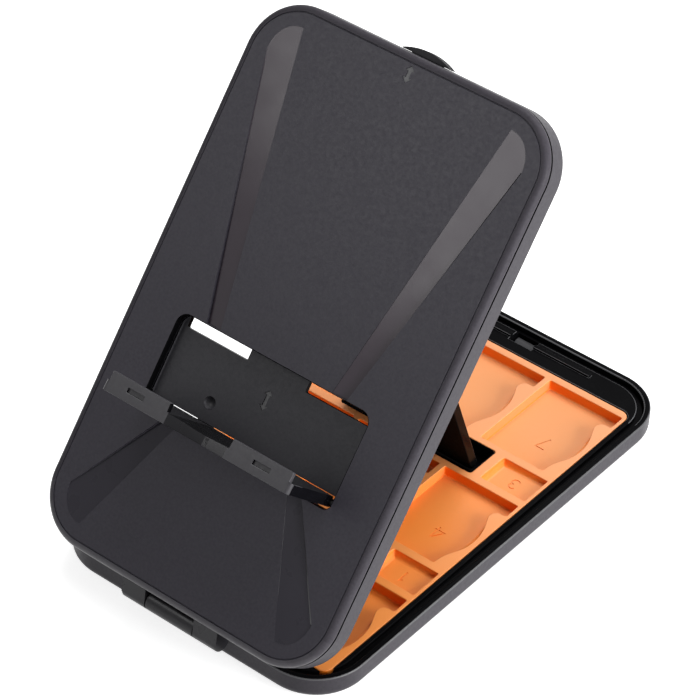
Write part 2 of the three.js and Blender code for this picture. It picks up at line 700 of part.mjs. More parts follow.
for (const side of bothSides) {
  const [a0, a1] = ledgePinSpan(side);
  const [b0, b1] = propPinSpan(side);
  const ledgePin = rodX(a0, a1, ledgeY, ledgeZ, ledgePinRadius, 14);
  const propPin = rodX(b0, b1, propY, propZ, propPinRadius, 16);
  lid.add(piece(`ledge_pin_${sideName(side)}`, ledgePin, steelFinish));
  lid.add(piece(`prop_pin_${sideName(side)}`, propPin, steelFinish));
}

export default stand;
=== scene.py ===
"""Looks of a game card storage stand: a hinged case with a card tray, a prop and a fold-out ledge.

Pieces are modelled shut and flat, in millimetres from the case's hinge-side edge, then set open.
"""
import bmesh
import bpy
import json
import math
from mathutils import Matrix, Vector


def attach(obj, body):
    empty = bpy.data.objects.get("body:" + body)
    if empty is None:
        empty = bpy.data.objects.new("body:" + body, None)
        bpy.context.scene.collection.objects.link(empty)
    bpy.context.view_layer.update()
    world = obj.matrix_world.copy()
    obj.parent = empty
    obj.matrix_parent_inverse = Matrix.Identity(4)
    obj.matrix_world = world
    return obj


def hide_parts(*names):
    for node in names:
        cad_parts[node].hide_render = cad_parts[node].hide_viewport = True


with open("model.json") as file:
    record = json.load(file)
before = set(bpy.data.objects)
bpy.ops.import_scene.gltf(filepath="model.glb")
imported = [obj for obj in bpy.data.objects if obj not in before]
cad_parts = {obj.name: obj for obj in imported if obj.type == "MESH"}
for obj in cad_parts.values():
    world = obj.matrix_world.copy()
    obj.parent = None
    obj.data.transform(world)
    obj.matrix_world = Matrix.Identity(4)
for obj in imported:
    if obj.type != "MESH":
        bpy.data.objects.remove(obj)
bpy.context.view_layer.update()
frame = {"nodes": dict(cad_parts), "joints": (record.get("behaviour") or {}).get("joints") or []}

MM = 0.001

# Case
WIDTH = 100.0
LENGTH = 161.9
CORNER = 16.5
WALL = 2.0
BASE_H = 7.5
FLOOR = 1.8
GAP = 0.3
LID_TOP = 16.75
FRAME_TOP = 14.2
COVER_BOTTOM = 14.5
FLANGE_BOTTOM = 12.7
HALF = WIDTH / 2
CORNER_STEPS = 24
FOOT_INSET = 15.0
FOOT_RADIUS = 4.5
FOOT_DROP = 0.6
FOOT_SUNK = 0.4
SCREW_HOLE = 1.1
COVER_SCREW_INSET = 6.5
COVER_SCREW_FROM_END = 30.0
TAB_LOW = 8.2
TAB_HIGH = 11.2
TONGUE_HALF = 5.0
TONGUE_TRIM = 0.6

# Hinge
HINGE_Y = -2.8
HINGE_Z = 9.0
BARREL = 3.1
BASE_KNUCKLE = 8.4
LID_KNUCKLE = 17.0
PIN_BORE = 1.3
OPEN = math.radians(51.65)

# Tray
TRAY_HALF = 44.2
TRAY_NEAR = 7.8
TRAY_FAR = 148.8
TRAY_TOP = 6.75
SEAT = 2.1
SURROUND_LOW = 5.65
SURROUND_TOP = 6.85
LIP_FAR = LENGTH - 6.1
CATCH_HALF = 4.0
CATCH_DEPTH = 2.6
RECESS_LENGTH = 34.0
RECESS_DEPTH = 3.4
ROW_PITCH = 50.85
ROW_NEAR = [10.45, 61.3, 112.15]
MIDDLE_HALF = 14.8
SIDE_INNER = 16.8
SIDE_OUTER = 43.0
PAD_WIDTH = 3.9
PAD_LENGTH = 28.2
PAD_NOSE = 3.1
SCOOP_WALL = 0.6
SCOOP_AT = 13.8
SMALL_LENGTH = 15.6
SMALL_WIDTH = 11.2
SMALL_DEPTH = 2.0
WELL_HALF = 24.2
WELL_LENGTH = 12.4
WELL_MIDDLE = 103.725
WELL_CORNER = 1.0
CARD_FIGURE = 5.0
SMALL_FIGURE = 4.0

# Window, ledge and prop
WINDOW_HALF = 33.2
WINDOW_NEAR = 44.0
WINDOW_FAR = 72.0
PANEL_FLOOR = 13.25
PANEL_NEAR = 49.3
PANEL_WALL = 1.5
LEDGE_Y = 46.2
LEDGE_Z = 15.35
LEDGE_REACH = 24.2
LEDGE_HALF = 32.2
LEDGE_TOP = 1.8
LEDGE_ROOT = 1.3
LEDGE_BORE = 0.85
LEDGE_TILT = math.radians(4.5)
LIP_INNER = 10.5
LIP_OUTER = 31.15
LIP_HEIGHT = 2.75
LIP_THICK = 1.6
POCKET_X = (LIP_INNER + LIP_OUTER) / 2 + 1
PROP_Y = 109.8
PROP_Z = 9.5
PROP_HALF = 22.7
PROP_THICK = 3.0

# Marks and ramps of the lid
RAMP_INSET = 6.5
RAMP_OUTER = 43.0
RAMP_TURN = 9.0
RAMP_TIP = 35.0
RAMP_DEPTH = 0.85
RAMP_WINDOW_INNER = 19.5
RAMP_WINDOW_OUTER = 24.5
ARROW_X = 0.3
LID_ARROW = (154.1, 159.0)
PAN_ARROW = (58.3, 64.2)

SIDES = (-1, 1)
joints = {j["name"]: j for j in frame["joints"]}
HINGE = Vector(joints["lid_hinge"]["pos_m"])
BASE = HINGE - Vector((0, HINGE_Y, HINGE_Z)) * MM
LEDGE_AT = Vector(joints["ledge_fold"]["pos_m"])
PROP_AT = Vector(joints["prop_swing"]["pos_m"])
FOOT = Vector((0, WELL_MIDDLE - 0.7, SEAT)) * MM + BASE
PROP_LENGTH = (PROP_AT - FOOT).length / MM
LEAN = math.atan2(FOOT.y - PROP_AT.y, PROP_AT.z - FOOT.z)
PLACES = {
    "base": Matrix.Translation(BASE),
    "lid": (Matrix.Translation(HINGE) @ Matrix.Rotation(OPEN, 4, "X")
            @ Matrix.Translation(-Vector((0, HINGE_Y, HINGE_Z)) * MM)),
    "ledge": Matrix.Translation(LEDGE_AT) @ Matrix.Rotation(OPEN - LEDGE_TILT, 4, "X"),
    "prop": Matrix.Translation(PROP_AT) @ Matrix.Rotation(LEAN, 4, "X"),
}


# Modelling by hand: picking, drawing, cutting and softening

def deselect():
    bpy.ops.object.select_all(action="DESELECT")


def settle():
    """Puts the selected object's place and turn into its mesh."""
    bpy.ops.object.transform_apply(location=True, rotation=True, scale=True)


def only(ob):
    """Leaves one object selected."""
    deselect()
    ob.select_set(True)
    bpy.context.view_layer.objects.active = ob


def pick(ob, kind, wanted):
    """Opens the mesh with only the wanted faces, edges or points selected."""
    only(ob)
    bpy.ops.object.mode_set(mode="EDIT")
    bpy.ops.mesh.select_mode(type=kind)
    bpy.ops.mesh.select_all(action="DESELECT")
    mesh = bmesh.from_edit_mesh(ob.data)
    for item in {"FACE": mesh.faces, "EDGE": mesh.edges, "VERT": mesh.verts}[kind]:
        if wanted(item):
            item.select_set(True)
    mesh.select_flush_mode()
    bmesh.update_edit_mesh(ob.data)


def close():
    bpy.ops.object.mode_set(mode="OBJECT")


def middle(edge):
    return (edge.verts[0].co + edge.verts[1].co) / 2 / MM


def upright(edge):
    run = edge.verts[0].co - edge.verts[1].co
    return abs(run.z) > 0.99 * run.length


def at_level(z):
    return lambda edge: all(abs(v.co.z - z * MM) < 1e-6 for v in edge.verts)


def facing_up(z):
    return lambda face: face.normal.z > 0.99 and abs(face.calc_center_median().z - z * MM) < 1e-6


def bevel(ob, wanted, radius, segments):
    pick(ob, "EDGE", wanted)
    bpy.ops.mesh.bevel(offset=radius * MM, segments=segments, affect="EDGES")
    close()


def named(name):
    ob = bpy.context.object
    ob.name = ob.data.name = name
    return ob


def slab(name, x, y, z):
    """Block between low and high values on each axis."""
    deselect()
    spans = (x, y, z)
    bpy.ops.mesh.primitive_cube_add(size=MM, location=[(a + b) / 2 * MM for a, b in spans],
                                    scale=[b - a for a, b in spans])
    settle()
    return named(name)


def bar(name, centre, length, radius, sides, turn):
    """Round bar about its centre."""
    deselect()
    bpy.ops.mesh.primitive_cylinder_add(vertices=sides, radius=radius * MM, depth=length * MM,
                                        location=[v * MM for v in centre], rotation=(0, turn, 0))
    settle()
    return named(name)


def rod(name, x, y, z, radius, sides=48):
    """Round bar along the hinge direction."""
    return bar(name, ((x[0] + x[1]) / 2, y, z), x[1] - x[0], radius, sides, math.pi / 2)


def post(name, x, y, z, radius, sides=40):
    """Round bar standing upright."""
    return bar(name, (x, y, (z[0] + z[1]) / 2), z[1] - z[0], radius, sides, 0)


def rings(name, stack, axes="xyz"):
    """Solid over a stack of (loop, height) rings with equal point counts, each extruded from the last."""
    deselect()
    bpy.ops.mesh.primitive_circle_add(vertices=len(stack[0][0]), radius=MM, fill_type="NGON")
    ob = named(name)
    bpy.ops.object.mode_set(mode="EDIT")
    bpy.ops.mesh.select_mode(type="FACE")
    bpy.ops.mesh.select_all(action="SELECT")
    for step, (loop, height) in enumerate(stack):
        if step:
            bpy.ops.mesh.extrude_region_move(TRANSFORM_OT_translate={"value": (0, 0, MM)})
        mesh = bmesh.from_edit_mesh(ob.data)
        order = mesh.verts.layers.int.get("order") or mesh.verts.layers.int.new("order")
        if not step:
            for k, vert in enumerate(mesh.verts):
                vert[order] = k
        for vert in mesh.verts:
            if vert.select:
                spot = dict(zip(axes, (*loop[vert[order]], height)))
                vert.co = Vector((spot["x"], spot["y"], spot["z"])) * MM
        bmesh.update_edit_mesh(ob.data)
    bpy.ops.mesh.select_all(action="SELECT")
    bpy.ops.mesh.normals_make_consistent(inside=False)
    close()
    ob.data.attributes.remove(ob.data.attributes["order"])
    return ob


def run_x(name, profile, x):
    """Side profile of (y, z) points run along the hinge direction."""
    return rings(name, [(profile, x[0]), (profile, x[1])], "yzx")


def plate(name, loop, z):
    return rings(name, [(loop, z[0]), (loop, z[1])])


def combine(ob, tool, operation):
    only(ob)
    step = ob.modifiers.new(operation.title(), "BOOLEAN")
    step.operation = operation
    step.solver = "EXACT"
    step.object = tool
    bpy.ops.object.modifier_apply(modifier=step.name)
    bpy.data.objects.remove(tool)


def cut(ob, *tools):
    for tool in tools:
        combine(ob, tool, "DIFFERENCE")


def weld(ob, *tools):
    for tool in tools:
        combine(ob, tool, "UNION")


def soften(ob, width, segments=2, angle=50):
    """Breaks every sharp edge by a small radius."""
    only(ob)
    step = ob.modifiers.new("Soft edges", "BEVEL")
    step.width = width * MM
    step.segments = segments
    step.limit_method = "ANGLE"
    step.angle_limit = math.radians(angle)
    step.use_clamp_overlap = False
    bpy.ops.object.modifier_apply(modifier=step.name)


def copy_of(ob, name, shift):
    """Copy with its own mesh, moved by millimetres."""
    only(ob)
    bpy.ops.object.duplicate(linked=False)
    twin = named(name)
    bpy.ops.transform.translate(value=Vector(shift) * MM)
    settle()
    return twin


def finish(ob, body, slot, *nodes, smooth=38):
    """Sets a flat-modelled piece in its open place and lets it ride on its body."""
    only(ob)
    bpy.ops.object.mode_set(mode="EDIT")
    bpy.ops.mesh.select_all(action="SELECT")
    bpy.ops.mesh.remove_doubles(threshold=2e-7)
    bpy.ops.mesh.normals_make_consistent(inside=False)
    if bmesh.from_edit_mesh(ob.data).calc_volume(signed=True) < 0:
        bpy.ops.mesh.flip_normals()
    close()
    pick(ob, "VERT", lambda v: len(v.link_edges) == 2)
    bpy.ops.mesh.dissolve_verts()
    close()
    ob.matrix_world = PLACES[body]
    settle()
    bpy.ops.object.shade_smooth_by_angle(angle=math.radians(smooth))
    step = ob.modifiers.new("Flat faces stay flat", "WEIGHTED_NORMAL")
    step.keep_sharp = True
    bpy.ops.object.modifier_apply(modifier=step.name)
    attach(ob, body)
    if nodes:
        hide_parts(*nodes)
    return ob


def round_loop(x0, x1, y0, y1, radius, steps=10):
    """Rectangle with round corners, counter-clockwise."""
    loop = []
    for cx, cy, quarter in ((x1 - radius, y1 - radius, 0), (x0 + radius, y1 - radius, 1),
                            (x0 + radius, y0 + radius, 2), (x1 - radius, y0 + radius, 3)):
        for k in range(steps + 1):
            angle = (quarter + k / steps) * math.pi / 2
            loop.append((cx + radius * math.cos(angle), cy + radius * math.sin(angle)))
    return loop


def case_loop(inset, steps=24):
    return round_loop(-HALF + inset, HALF - inset, inset, LENGTH - inset, CORNER - inset, steps)


def span(side, a, b):
    return (a, b) if side > 0 else (-b, -a)


# Finishes

def shader(name, colour, roughness, **sockets):
    material = bpy.data.materials.new(name)
    material.use_nodes = True
    bsdf = material.node_tree.nodes["Principled BSDF"]
    bsdf.inputs["Base Color"].default_value = (*colour, 1)
    bsdf.inputs["Roughness"].default_value = roughness
    for key, value in sockets.items():
        bsdf.inputs[key.replace("_", " ")].default_value = value
    return material


def noise(material, scale, detail, stretch=(1, 1, 1)):
    nodes, links = material.node_tree.nodes, material.node_tree.links
    place = nodes.new("ShaderNodeTexCoord")
    turn = nodes.new("ShaderNodeMapping")
    turn.inputs["Scale"].default_value = stretch
    grain = nodes.new("ShaderNodeTexNoise")
    grain.inputs["Scale"].default_value = scale
    grain.inputs["Detail"].default_value = detail
    links.new(place.outputs["Object"], turn.inputs["Vector"])
    links.new(turn.outputs["Vector"], grain.inputs["Vector"])
    return grain.outputs["Fac"]


def vary(material, value, socket, low, high, spread=(0.3, 0.7)):
    """Runs a noise value into a colour or number between two ends."""
    nodes, links = material.node_tree.nodes, material.node_tree.links
    bsdf = nodes["Principled BSDF"]
    if isinstance(low, tuple):
        ramp = nodes.new("ShaderNodeValToRGB")
        ramp.color_ramp.elements[0].position, ramp.color_ramp.elements[1].position = spread
        ramp.color_ramp.elements[0].color = (*low, 1)
        ramp.color_ramp.elements[1].color = (*high, 1)
        links.new(value, ramp.inputs["Fac"])
        links.new(ramp.outputs["Color"], bsdf.inputs[socket])
        return
    reach = nodes.new("ShaderNodeMapRange")
    reach.inputs["From Min"].default_value, reach.inputs["From Max"].default_value = spread
    reach.inputs["To Min"].default_value, reach.inputs["To Max"].default_value = low, high
    links.new(value, reach.inputs["Value"])
    links.new(reach.outputs["Result"], bsdf.inputs[socket])


def painted_sheen_share(material, start, end):
    """Share of the way from near to far, with a little noise in it, for painted shade near and a painted
    sheen far.
    """
    nodes, links = material.node_tree.nodes, material.node_tree.links
    place = nodes.new("ShaderNodeTexCoord")
    split = nodes.new("ShaderNodeSeparateXYZ")
    links.new(place.outputs["Object"], split.inputs["Vector"])
    stir = nodes.new("ShaderNodeMath")
    stir.operation = "MULTIPLY_ADD"
    links.new(noise(material, 1300, 4), stir.inputs[0])
    stir.inputs[1].default_value = 0.01
    links.new(split.outputs["Y"], stir.inputs[2])
    reach = nodes.new("ShaderNodeMapRange")
    reach.inputs["From Min"].default_value, reach.inputs["From Max"].default_value = start, end
    links.new(stir.outputs["Value"], reach.inputs["Value"])
    return reach.outputs["Result"]


def emboss(material, value, strength, depth):
    nodes, links = material.node_tree.nodes, material.node_tree.links
    bump = nodes.new("ShaderNodeBump")
    bump.inputs["Strength"].default_value = strength
    bump.inputs["Distance"].default_value = depth * MM
    links.new(value, bump.inputs["Height"])
    links.new(bump.outputs["Normal"], nodes["Principled BSDF"].inputs["Normal"])


def grained_plastic(name, dark, light, roughness, gloss, grain=2600, depth=0.03, along=None):
    """Moulded plastic with a fine spark-etched skin, speckled in tone, or deeper near and paler far as
    painted shade and painted sheen.
    """
    material = shader(name, light, roughness, Specular_IOR_Level=gloss)
    if along:
        vary(material, painted_sheen_share(material, *along), "Base Color", dark, light, (0, 1))
    else:
        vary(material, noise(material, 1300, 4), "Base Color", dark, light)
    vary(material, noise(material, 900, 2), "Roughness", roughness - 0.05, roughness + 0.06)
    emboss(material, noise(material, grain, 2), 0.35, depth)
    return material


def smooth_plastic(name, dark, light, roughness, gloss, haze=0.05):
    """Polished moulded plastic: faint flow marks and a hint of haze in the gloss."""
    material = shader(name, light, roughness, Specular_IOR_Level=gloss)
    vary(material, noise(material, 30, 3, (1, 0.4, 1)), "Base Color", dark, light)
    vary(material, noise(material, 160, 4), "Roughness", roughness - haze, roughness + haze)
    emboss(material, noise(material, 90, 1), 0.06, 0.02)
    return material


def turned_steel(name, dark, light, bright, dull, lines):
    """Turned metal: fine lines in the gloss and clouds in the tone."""
    material = shader(name, light, dull, Metallic=1.0)
    vary(material, noise(material, lines, 3, (1, 6, 6)), "Roughness", bright, dull)
    vary(material, noise(material, 300, 2), "Base Color", dark, light)
    return material


charcoal = grained_plastic("charcoal_grain", (0.0315, 0.0285, 0.0385), (0.042, 0.039, 0.0505), 0.42, 0.2)
# Copies of the band's plastic, glossier in steps towards the hinge side: a painted sheen.
painted_sheen_bands = [grained_plastic(f"band_painted_sheen_{k + 1}", (0.054, 0.050, 0.059), (0.065, 0.060, 0.071), 0.36, gloss,
                         3200, 0.015) for k, gloss in enumerate((0.06, 0.15, 0.24, 0.33))]
# Upper ramps lighter and glossier, lower ramps darker: lit and shaded copies of one plastic, a painted
# highlight and a painted shade.
ramp_painted_highlight = smooth_plastic("ramp_painted_highlight", (0.048, 0.036, 0.047), (0.056, 0.043, 0.056), 0.2, 0.28, 0.03)
ramp_shade = smooth_plastic("ramp_shade", (0.037, 0.034, 0.044), (0.042, 0.039, 0.050), 0.3, 0.12)
rim_grey = grained_plastic("rim_grey", (0.035, 0.032, 0.039), (0.046, 0.042, 0.050), 0.42, 0.16, 3200, 0.02)
# The hinge's own darker gloss, also the lighter right part of the ledge's front between the lips, as a
# painted highlight.
hinge_black_and_painted_highlight = smooth_plastic("hinge_black_and_painted_highlight", (0.020, 0.019, 0.022), (0.026, 0.025, 0.029), 0.3, 0.2)
# Near-black gloss: the surround's own colour, and elsewhere a painted shade in seams, gaps, creases and
# recess walls.
gloss_black_and_painted_shade = smooth_plastic("gloss_black_and_painted_shade", (0.002, 0.002, 0.0025), (0.004, 0.004, 0.0045), 0.25, 0.015)
inner_charcoal = grained_plastic("inner_charcoal", (0.019, 0.018, 0.021), (0.025, 0.024, 0.028), 0.45, 0.2)
# Lighter grey for bevels: a painted highlight along edges.
painted_edge_highlight = smooth_plastic("painted_edge_highlight", (0.06, 0.06, 0.065), (0.09, 0.09, 0.095), 0.3, 0.4)
# Glossy black of the shelf's top, also a painted shade on the rear of the shelf's ends.
ledge_gloss_and_painted_shade = smooth_plastic("ledge_gloss_and_painted_shade", (0.002, 0.002, 0.003), (0.004, 0.004, 0.005), 0.1, 0.35, 0.02)
pan_black = grained_plastic("pan_black", (0.029, 0.028, 0.034), (0.036, 0.035, 0.041), 0.5, 0.25)
# Light grey of the sunk arrows, also a painted highlight on the lower ramps' creases.
mark_grey_and_painted_highlight = smooth_plastic("mark_grey_and_painted_highlight", (0.12, 0.12, 0.125), (0.15, 0.15, 0.155), 0.4, 0.3)
# Tray orange with painted shade near the hinge, under the lid, and a painted sheen paling it towards the far
# end.
tray_orange = grained_plastic("tray_orange", (0.97, 0.275, 0.035), (0.83, 0.325, 0.11), 0.5, 0.5, 1800, 0.02,
                              along=(0.0, 0.055))
# Deeper orange for walls facing the hinge side: a painted shade.
tray_wall_painted_shade = grained_plastic("tray_wall_painted_shade", (0.93, 0.185, 0.008), (0.97, 0.205, 0.012), 0.5, 0.25, 1800, 0.02)
# Deeper orange for sloped faces: a painted shade.
tray_scoop_painted_shade = grained_plastic("tray_scoop_painted_shade", (0.94, 0.25, 0.030), (0.97, 0.275, 0.040), 0.5, 0.35, 1800, 0.02)
# Paler orange for the rim tops: a painted highlight, with the same painted sheen paling it towards the far
# end.
tray_rim_painted_highlight = grained_plastic("tray_rim_painted_highlight", (0.95, 0.30, 0.055), (0.86, 0.345, 0.14), 0.45, 0.45, 1800, 0.02,
                           along=(-0.03, 0.055))
# Near black for the prop's edges and front face: a painted shade over its plastic, whose own tone is on the
# back.
prop_gloss_painted_shade = smooth_plastic("prop_gloss_painted_shade", (0.002, 0.002, 0.002), (0.004, 0.004, 0.004), 0.2, 0.045, 0.03)
prop_painted_shade = grained_plastic("prop_painted_shade", (0.002, 0.002, 0.002), (0.004, 0.004, 0.004), 0.6, 0.02)
ledge_grey = grained_plastic("ledge_grey", (0.042, 0.040, 0.046), (0.049, 0.047, 0.053), 0.42, 0.25,
                             3000, 0.015)
# The thumb tab's own dark grey, also a painted shade on the ledge's front between the lips.
thumb_grey_and_painted_shade = smooth_plastic("thumb_grey_and_painted_shade", (0.010, 0.0097, 0.012), (0.014, 0.0135, 0.016), 0.35, 0.08)
latch_grey = smooth_plastic("latch_grey", (0.046, 0.046, 0.049), (0.056, 0.056, 0.060), 0.4, 0.25)
rubber = grained_plastic("foot_rubber", (0.010, 0.010, 0.010), (0.016, 0.016, 0.016), 0.8, 0.3, 1500, 0.05)
dark_steel = turned_steel("dark_steel", (0.025, 0.025, 0.027), (0.036, 0.036, 0.038), 0.34, 0.5, 500)
steel = turned_steel("screw_steel", (0.50, 0.51, 0.53), (0.60, 0.61, 0.63), 0.24, 0.42, 700)


def dress(ob, *materials):
    ob.data.materials.clear()
    for material in materials:
        ob.data.materials.append(material)


def paint(ob, material, wanted):
    """Gives one of the piece's finishes to the faces found by their middle, in millimetres, and normal."""
    index = ob.data.materials.find(material.name)
    for face in ob.data.polygons:
        if wanted(face.center / MM, face.normal):
            face.material_index = index


# Base

def base_tub():
    """Tub with the middle hinge knuckle, foot seats and a black collar in the prop's well."""
    tub = slab("base_tub", (-HALF, HALF), (0, LENGTH), (0, BASE_H))
    bevel(tub, upright, CORNER, CORNER_STEPS)
    bevel(tub, at_level(0), 3.0, 8)
    pick(tub, "FACE", facing_up(BASE_H))
    bpy.ops.mesh.inset(thickness=WALL * MM, depth=0)
    bpy.ops.mesh.extrude_region_move(TRANSFORM_OT_translate={"value": (0, 0, (FLOOR - BASE_H) * MM)})
    close()
    bevel(tub, at_level(BASE_H), 0.35, 3)
    for side in SIDES:
        cut(tub, rod("relief", span(side, BASE_KNUCKLE, LID_KNUCKLE + GAP), HINGE_Y, HINGE_Z, BARREL + GAP))
    low = HINGE_Z - BARREL - 2.4
    web = run_x("web", [(HINGE_Y - 0.6 * BARREL, HINGE_Z - 0.8 * BARREL), (0, low), (WALL / 2, low),
                        (WALL / 2, BASE_H - 0.4), (0, BASE_H - 0.4), (HINGE_Y, HINGE_Z)],
                (-BASE_KNUCKLE, BASE_KNUCKLE))
    knuckle = rod("knuckle", (-BASE_KNUCKLE, BASE_KNUCKLE), HINGE_Y, HINGE_Z, BARREL)
    bevel(knuckle, lambda e: abs(abs(middle(e).x) - BASE_KNUCKLE) < 0.01, 0.2, 2)
    weld(tub, web, knuckle)
    cut(tub, rod("bore", (-BASE_KNUCKLE - 1, BASE_KNUCKLE + 1), HINGE_Y, HINGE_Z, PIN_BORE, 32))
    for x, y in foot_places():
        cut(tub, post("foot_seat", x, y, (-1, FOOT_SUNK + GAP), FOOT_RADIUS + GAP))
    collar = plate("collar", well_loop(0.05, WELL_CORNER), (FLOOR - 0.5, TRAY_TOP - 0.15))
    cut(collar, plate("hollow", well_loop(0.4, 0.7), (FLOOR, TRAY_TOP + 1)))
    weld(tub, collar)
    dress(tub, rim_grey, gloss_black_and_painted_shade, hinge_black_and_painted_highlight, painted_edge_highlight)
    # The tub's inside, its rim top and the well's collar are painted near black.
    paint(tub, gloss_black_and_painted_shade, lambda c, n: c.z > FLOOR - 0.1 and inside_case(c, 0.4))
    paint(tub, hinge_black_and_painted_highlight, lambda c, n: c.y < -0.02)
    # Painted highlight on the rim's top bevels.
    paint(tub, painted_edge_highlight, lambda c, n: (c.z > BASE_H - 0.4 and 0.2 < n.z < 0.97 and c.y > 0
                                        and (far_side(c) or not inside_case(c, 0.4))))
    return finish(tub, "base", "shell", "base_shell")


def inside_case(c, inset):
    """Whether a spot lies within the case's outline, drawn in by an inset."""
    dx = max(abs(c.x) - (HALF - CORNER), 0)
    dy = max(CORNER - c.y, c.y - (LENGTH - CORNER), 0)
    if dx > 0 and dy > 0:
        return math.hypot(dx, dy) < CORNER - inset
    return abs(c.x) < HALF - inset and inset < c.y < LENGTH - inset


def far_side(c):
    """Whether a spot lies on the far side, where the edges get a painted highlight."""
    return c.y > LENGTH - 24


def well_loop(inset, radius):
    """Outline of the prop's well, drawn in by an inset."""
    half = WELL_LENGTH / 2 - inset
    return round_loop(inset - WELL_HALF, WELL_HALF - inset, WELL_MIDDLE - half, WELL_MIDDLE + half, radius, 4)


def foot_places():
    return [(side * (HALF - FOOT_INSET), y) for side in SIDES for y in (FOOT_INSET, LENGTH - FOOT_INSET)]


def foot_pads():
    """One pad with a ring moulded in its underside, copied to each corner."""
    x0, y0 = foot_places()[0]
    pad = post("foot_pad", x0, y0, (-FOOT_DROP, FOOT_SUNK), FOOT_RADIUS)
    bevel(pad, at_level(-FOOT_DROP), 0.35, 3)
    pick(pad, "FACE", lambda f: f.normal.z < -0.99)
    bpy.ops.mesh.inset(thickness=1.1 * MM, depth=0)
    bpy.ops.mesh.inset(thickness=0.3 * MM, depth=-0.15 * MM)
    close()
    for k, (x, y) in enumerate(foot_places()):
        twin = copy_of(pad, f"foot_pad_{k + 1}", (x - x0, y - y0, 0))
        dress(twin, rubber)
        finish(twin, "base", "rubber", f"rubber_foot_{k + 1}")
    bpy.data.objects.remove(pad)


def inner_surround():
    """Glossy black surround with a groove for the lid's rim, a raised lip and the catch's pocket."""
    edge = WALL + GAP
    low, top = SURROUND_LOW, SURROUND_TOP
    surround = slab("inner_surround", (-HALF + edge, HALF - edge), (edge, LENGTH - edge), (SEAT, low))
    bevel(surround, upright, CORNER - edge, CORNER_STEPS)
    pick(surround, "FACE", facing_up(low))
    bpy.ops.mesh.inset(thickness=1.8 * MM, depth=0)
    bpy.ops.mesh.extrude_region_move(TRANSFORM_OT_translate={"value": (0, 0, (top - low) * MM)})
    close()
    bevel(surround, at_level(top), 0.25, 3)
    lip = slab("lip", (-25, 25), (LIP_FAR - 1.6, LIP_FAR), (low, top + 0.8))
    bevel(lip, lambda e: max(v.co.z for v in e.verts) > top * MM, 0.3, 3)
    weld(surround, lip)
    opening = round_loop(-TRAY_HALF - GAP, TRAY_HALF + GAP, TRAY_NEAR - GAP, TRAY_FAR + GAP, 3.3, 6)
    cut(surround, plate("opening", opening, (0, 9)))
    cut(surround, slab("pocket", (-CATCH_HALF - GAP, CATCH_HALF + GAP),
                       (LIP_FAR - 2.6, LIP_FAR + CATCH_DEPTH + GAP), (SEAT + 0.9, 9)))
    soften(surround, 0.12, 2, 60)
    dress(surround, gloss_black_and_painted_shade, painted_edge_highlight)
    # Painted highlight on the far step edges and on the lip's near top edge.
    paint(surround, painted_edge_highlight, lambda c, n: (low + 0.5 < c.z < top + 0.05 and 0.25 < n.z < 0.97
                                             and far_side(c)))
    paint(surround, painted_edge_highlight, lambda c, n: c.z > top + 0.3 and 0.3 < n.z < 0.9 and n.y < -0.3)
    return finish(surround, "base", "gloss_black", "base_bezel")


def latch_block():
    """Catch with a sloped top in the surround's pocket."""
    near, far = LIP_FAR, LIP_FAR + CATCH_DEPTH
    profile = [(near, 3.3), (far, 3.3), (far, 4.3), (near + CATCH_DEPTH / 2, 4.3), (near, 3.8)]
    block = run_x("latch_block", profile, (-CATCH_HALF, CATCH_HALF))
    soften(block, 0.12, 2, 20)
    dress(block, latch_grey)
    return finish(block, "base", "latch_grey", "latch_catch")


# Card tray

def curve(points, steps):
    """Points of a Bezier arc after its first point."""
    a, b, c, d = (Vector(p) for p in points)
    out = []
    for k in range(1, steps + 1):
        t = k / steps
        out.append(a * (1 - t) ** 3 + 3 * b * t * (1 - t) ** 2 + 3 * c * t * t * (1 - t) + d * t ** 3)
    return out


def padded_side():
    """Right side of a recess from near to far, as (inward, along, scoop share, corner radius)."""
    nose = PAD_LENGTH - PAD_NOSE
    rise = (nose - SCOOP_AT) / 2
    spots = curve([(PAD_WIDTH, 0), (PAD_WIDTH, SCOOP_AT / 2), (SCOOP_WALL, SCOOP_AT / 2),
                   (SCOOP_WALL, SCOOP_AT)], 12)
    spots += curve([(SCOOP_WALL, SCOOP_AT), (SCOOP_WALL, SCOOP_AT + rise), (PAD_WIDTH - 1, nose - rise / 2),
                    (PAD_WIDTH, nose)], 12)
    side = [(PAD_WIDTH, 0, 0, 0.6)]
    side += [(p.x, p.y, (PAD_WIDTH - p.x) / (PAD_WIDTH - SCOOP_WALL), 0) for p in spots]
    ends = curve([(PAD_WIDTH, nose), (PAD_WIDTH, nose + 1.9), (PAD_WIDTH - 0.8, PAD_LENGTH),
                  (PAD_WIDTH - 2.1, PAD_LENGTH)], 6)
    side += [(p.x, p.y, 0, 0) for p in ends]
    side += [(0, PAD_LENGTH, 0, 0.6), (0, RECESS_LENGTH, 0, 0.6)]
    return side


def plain_side():
    return [(0, 0, 0, 0.6), (0, RECESS_LENGTH, 0, 0.6)]


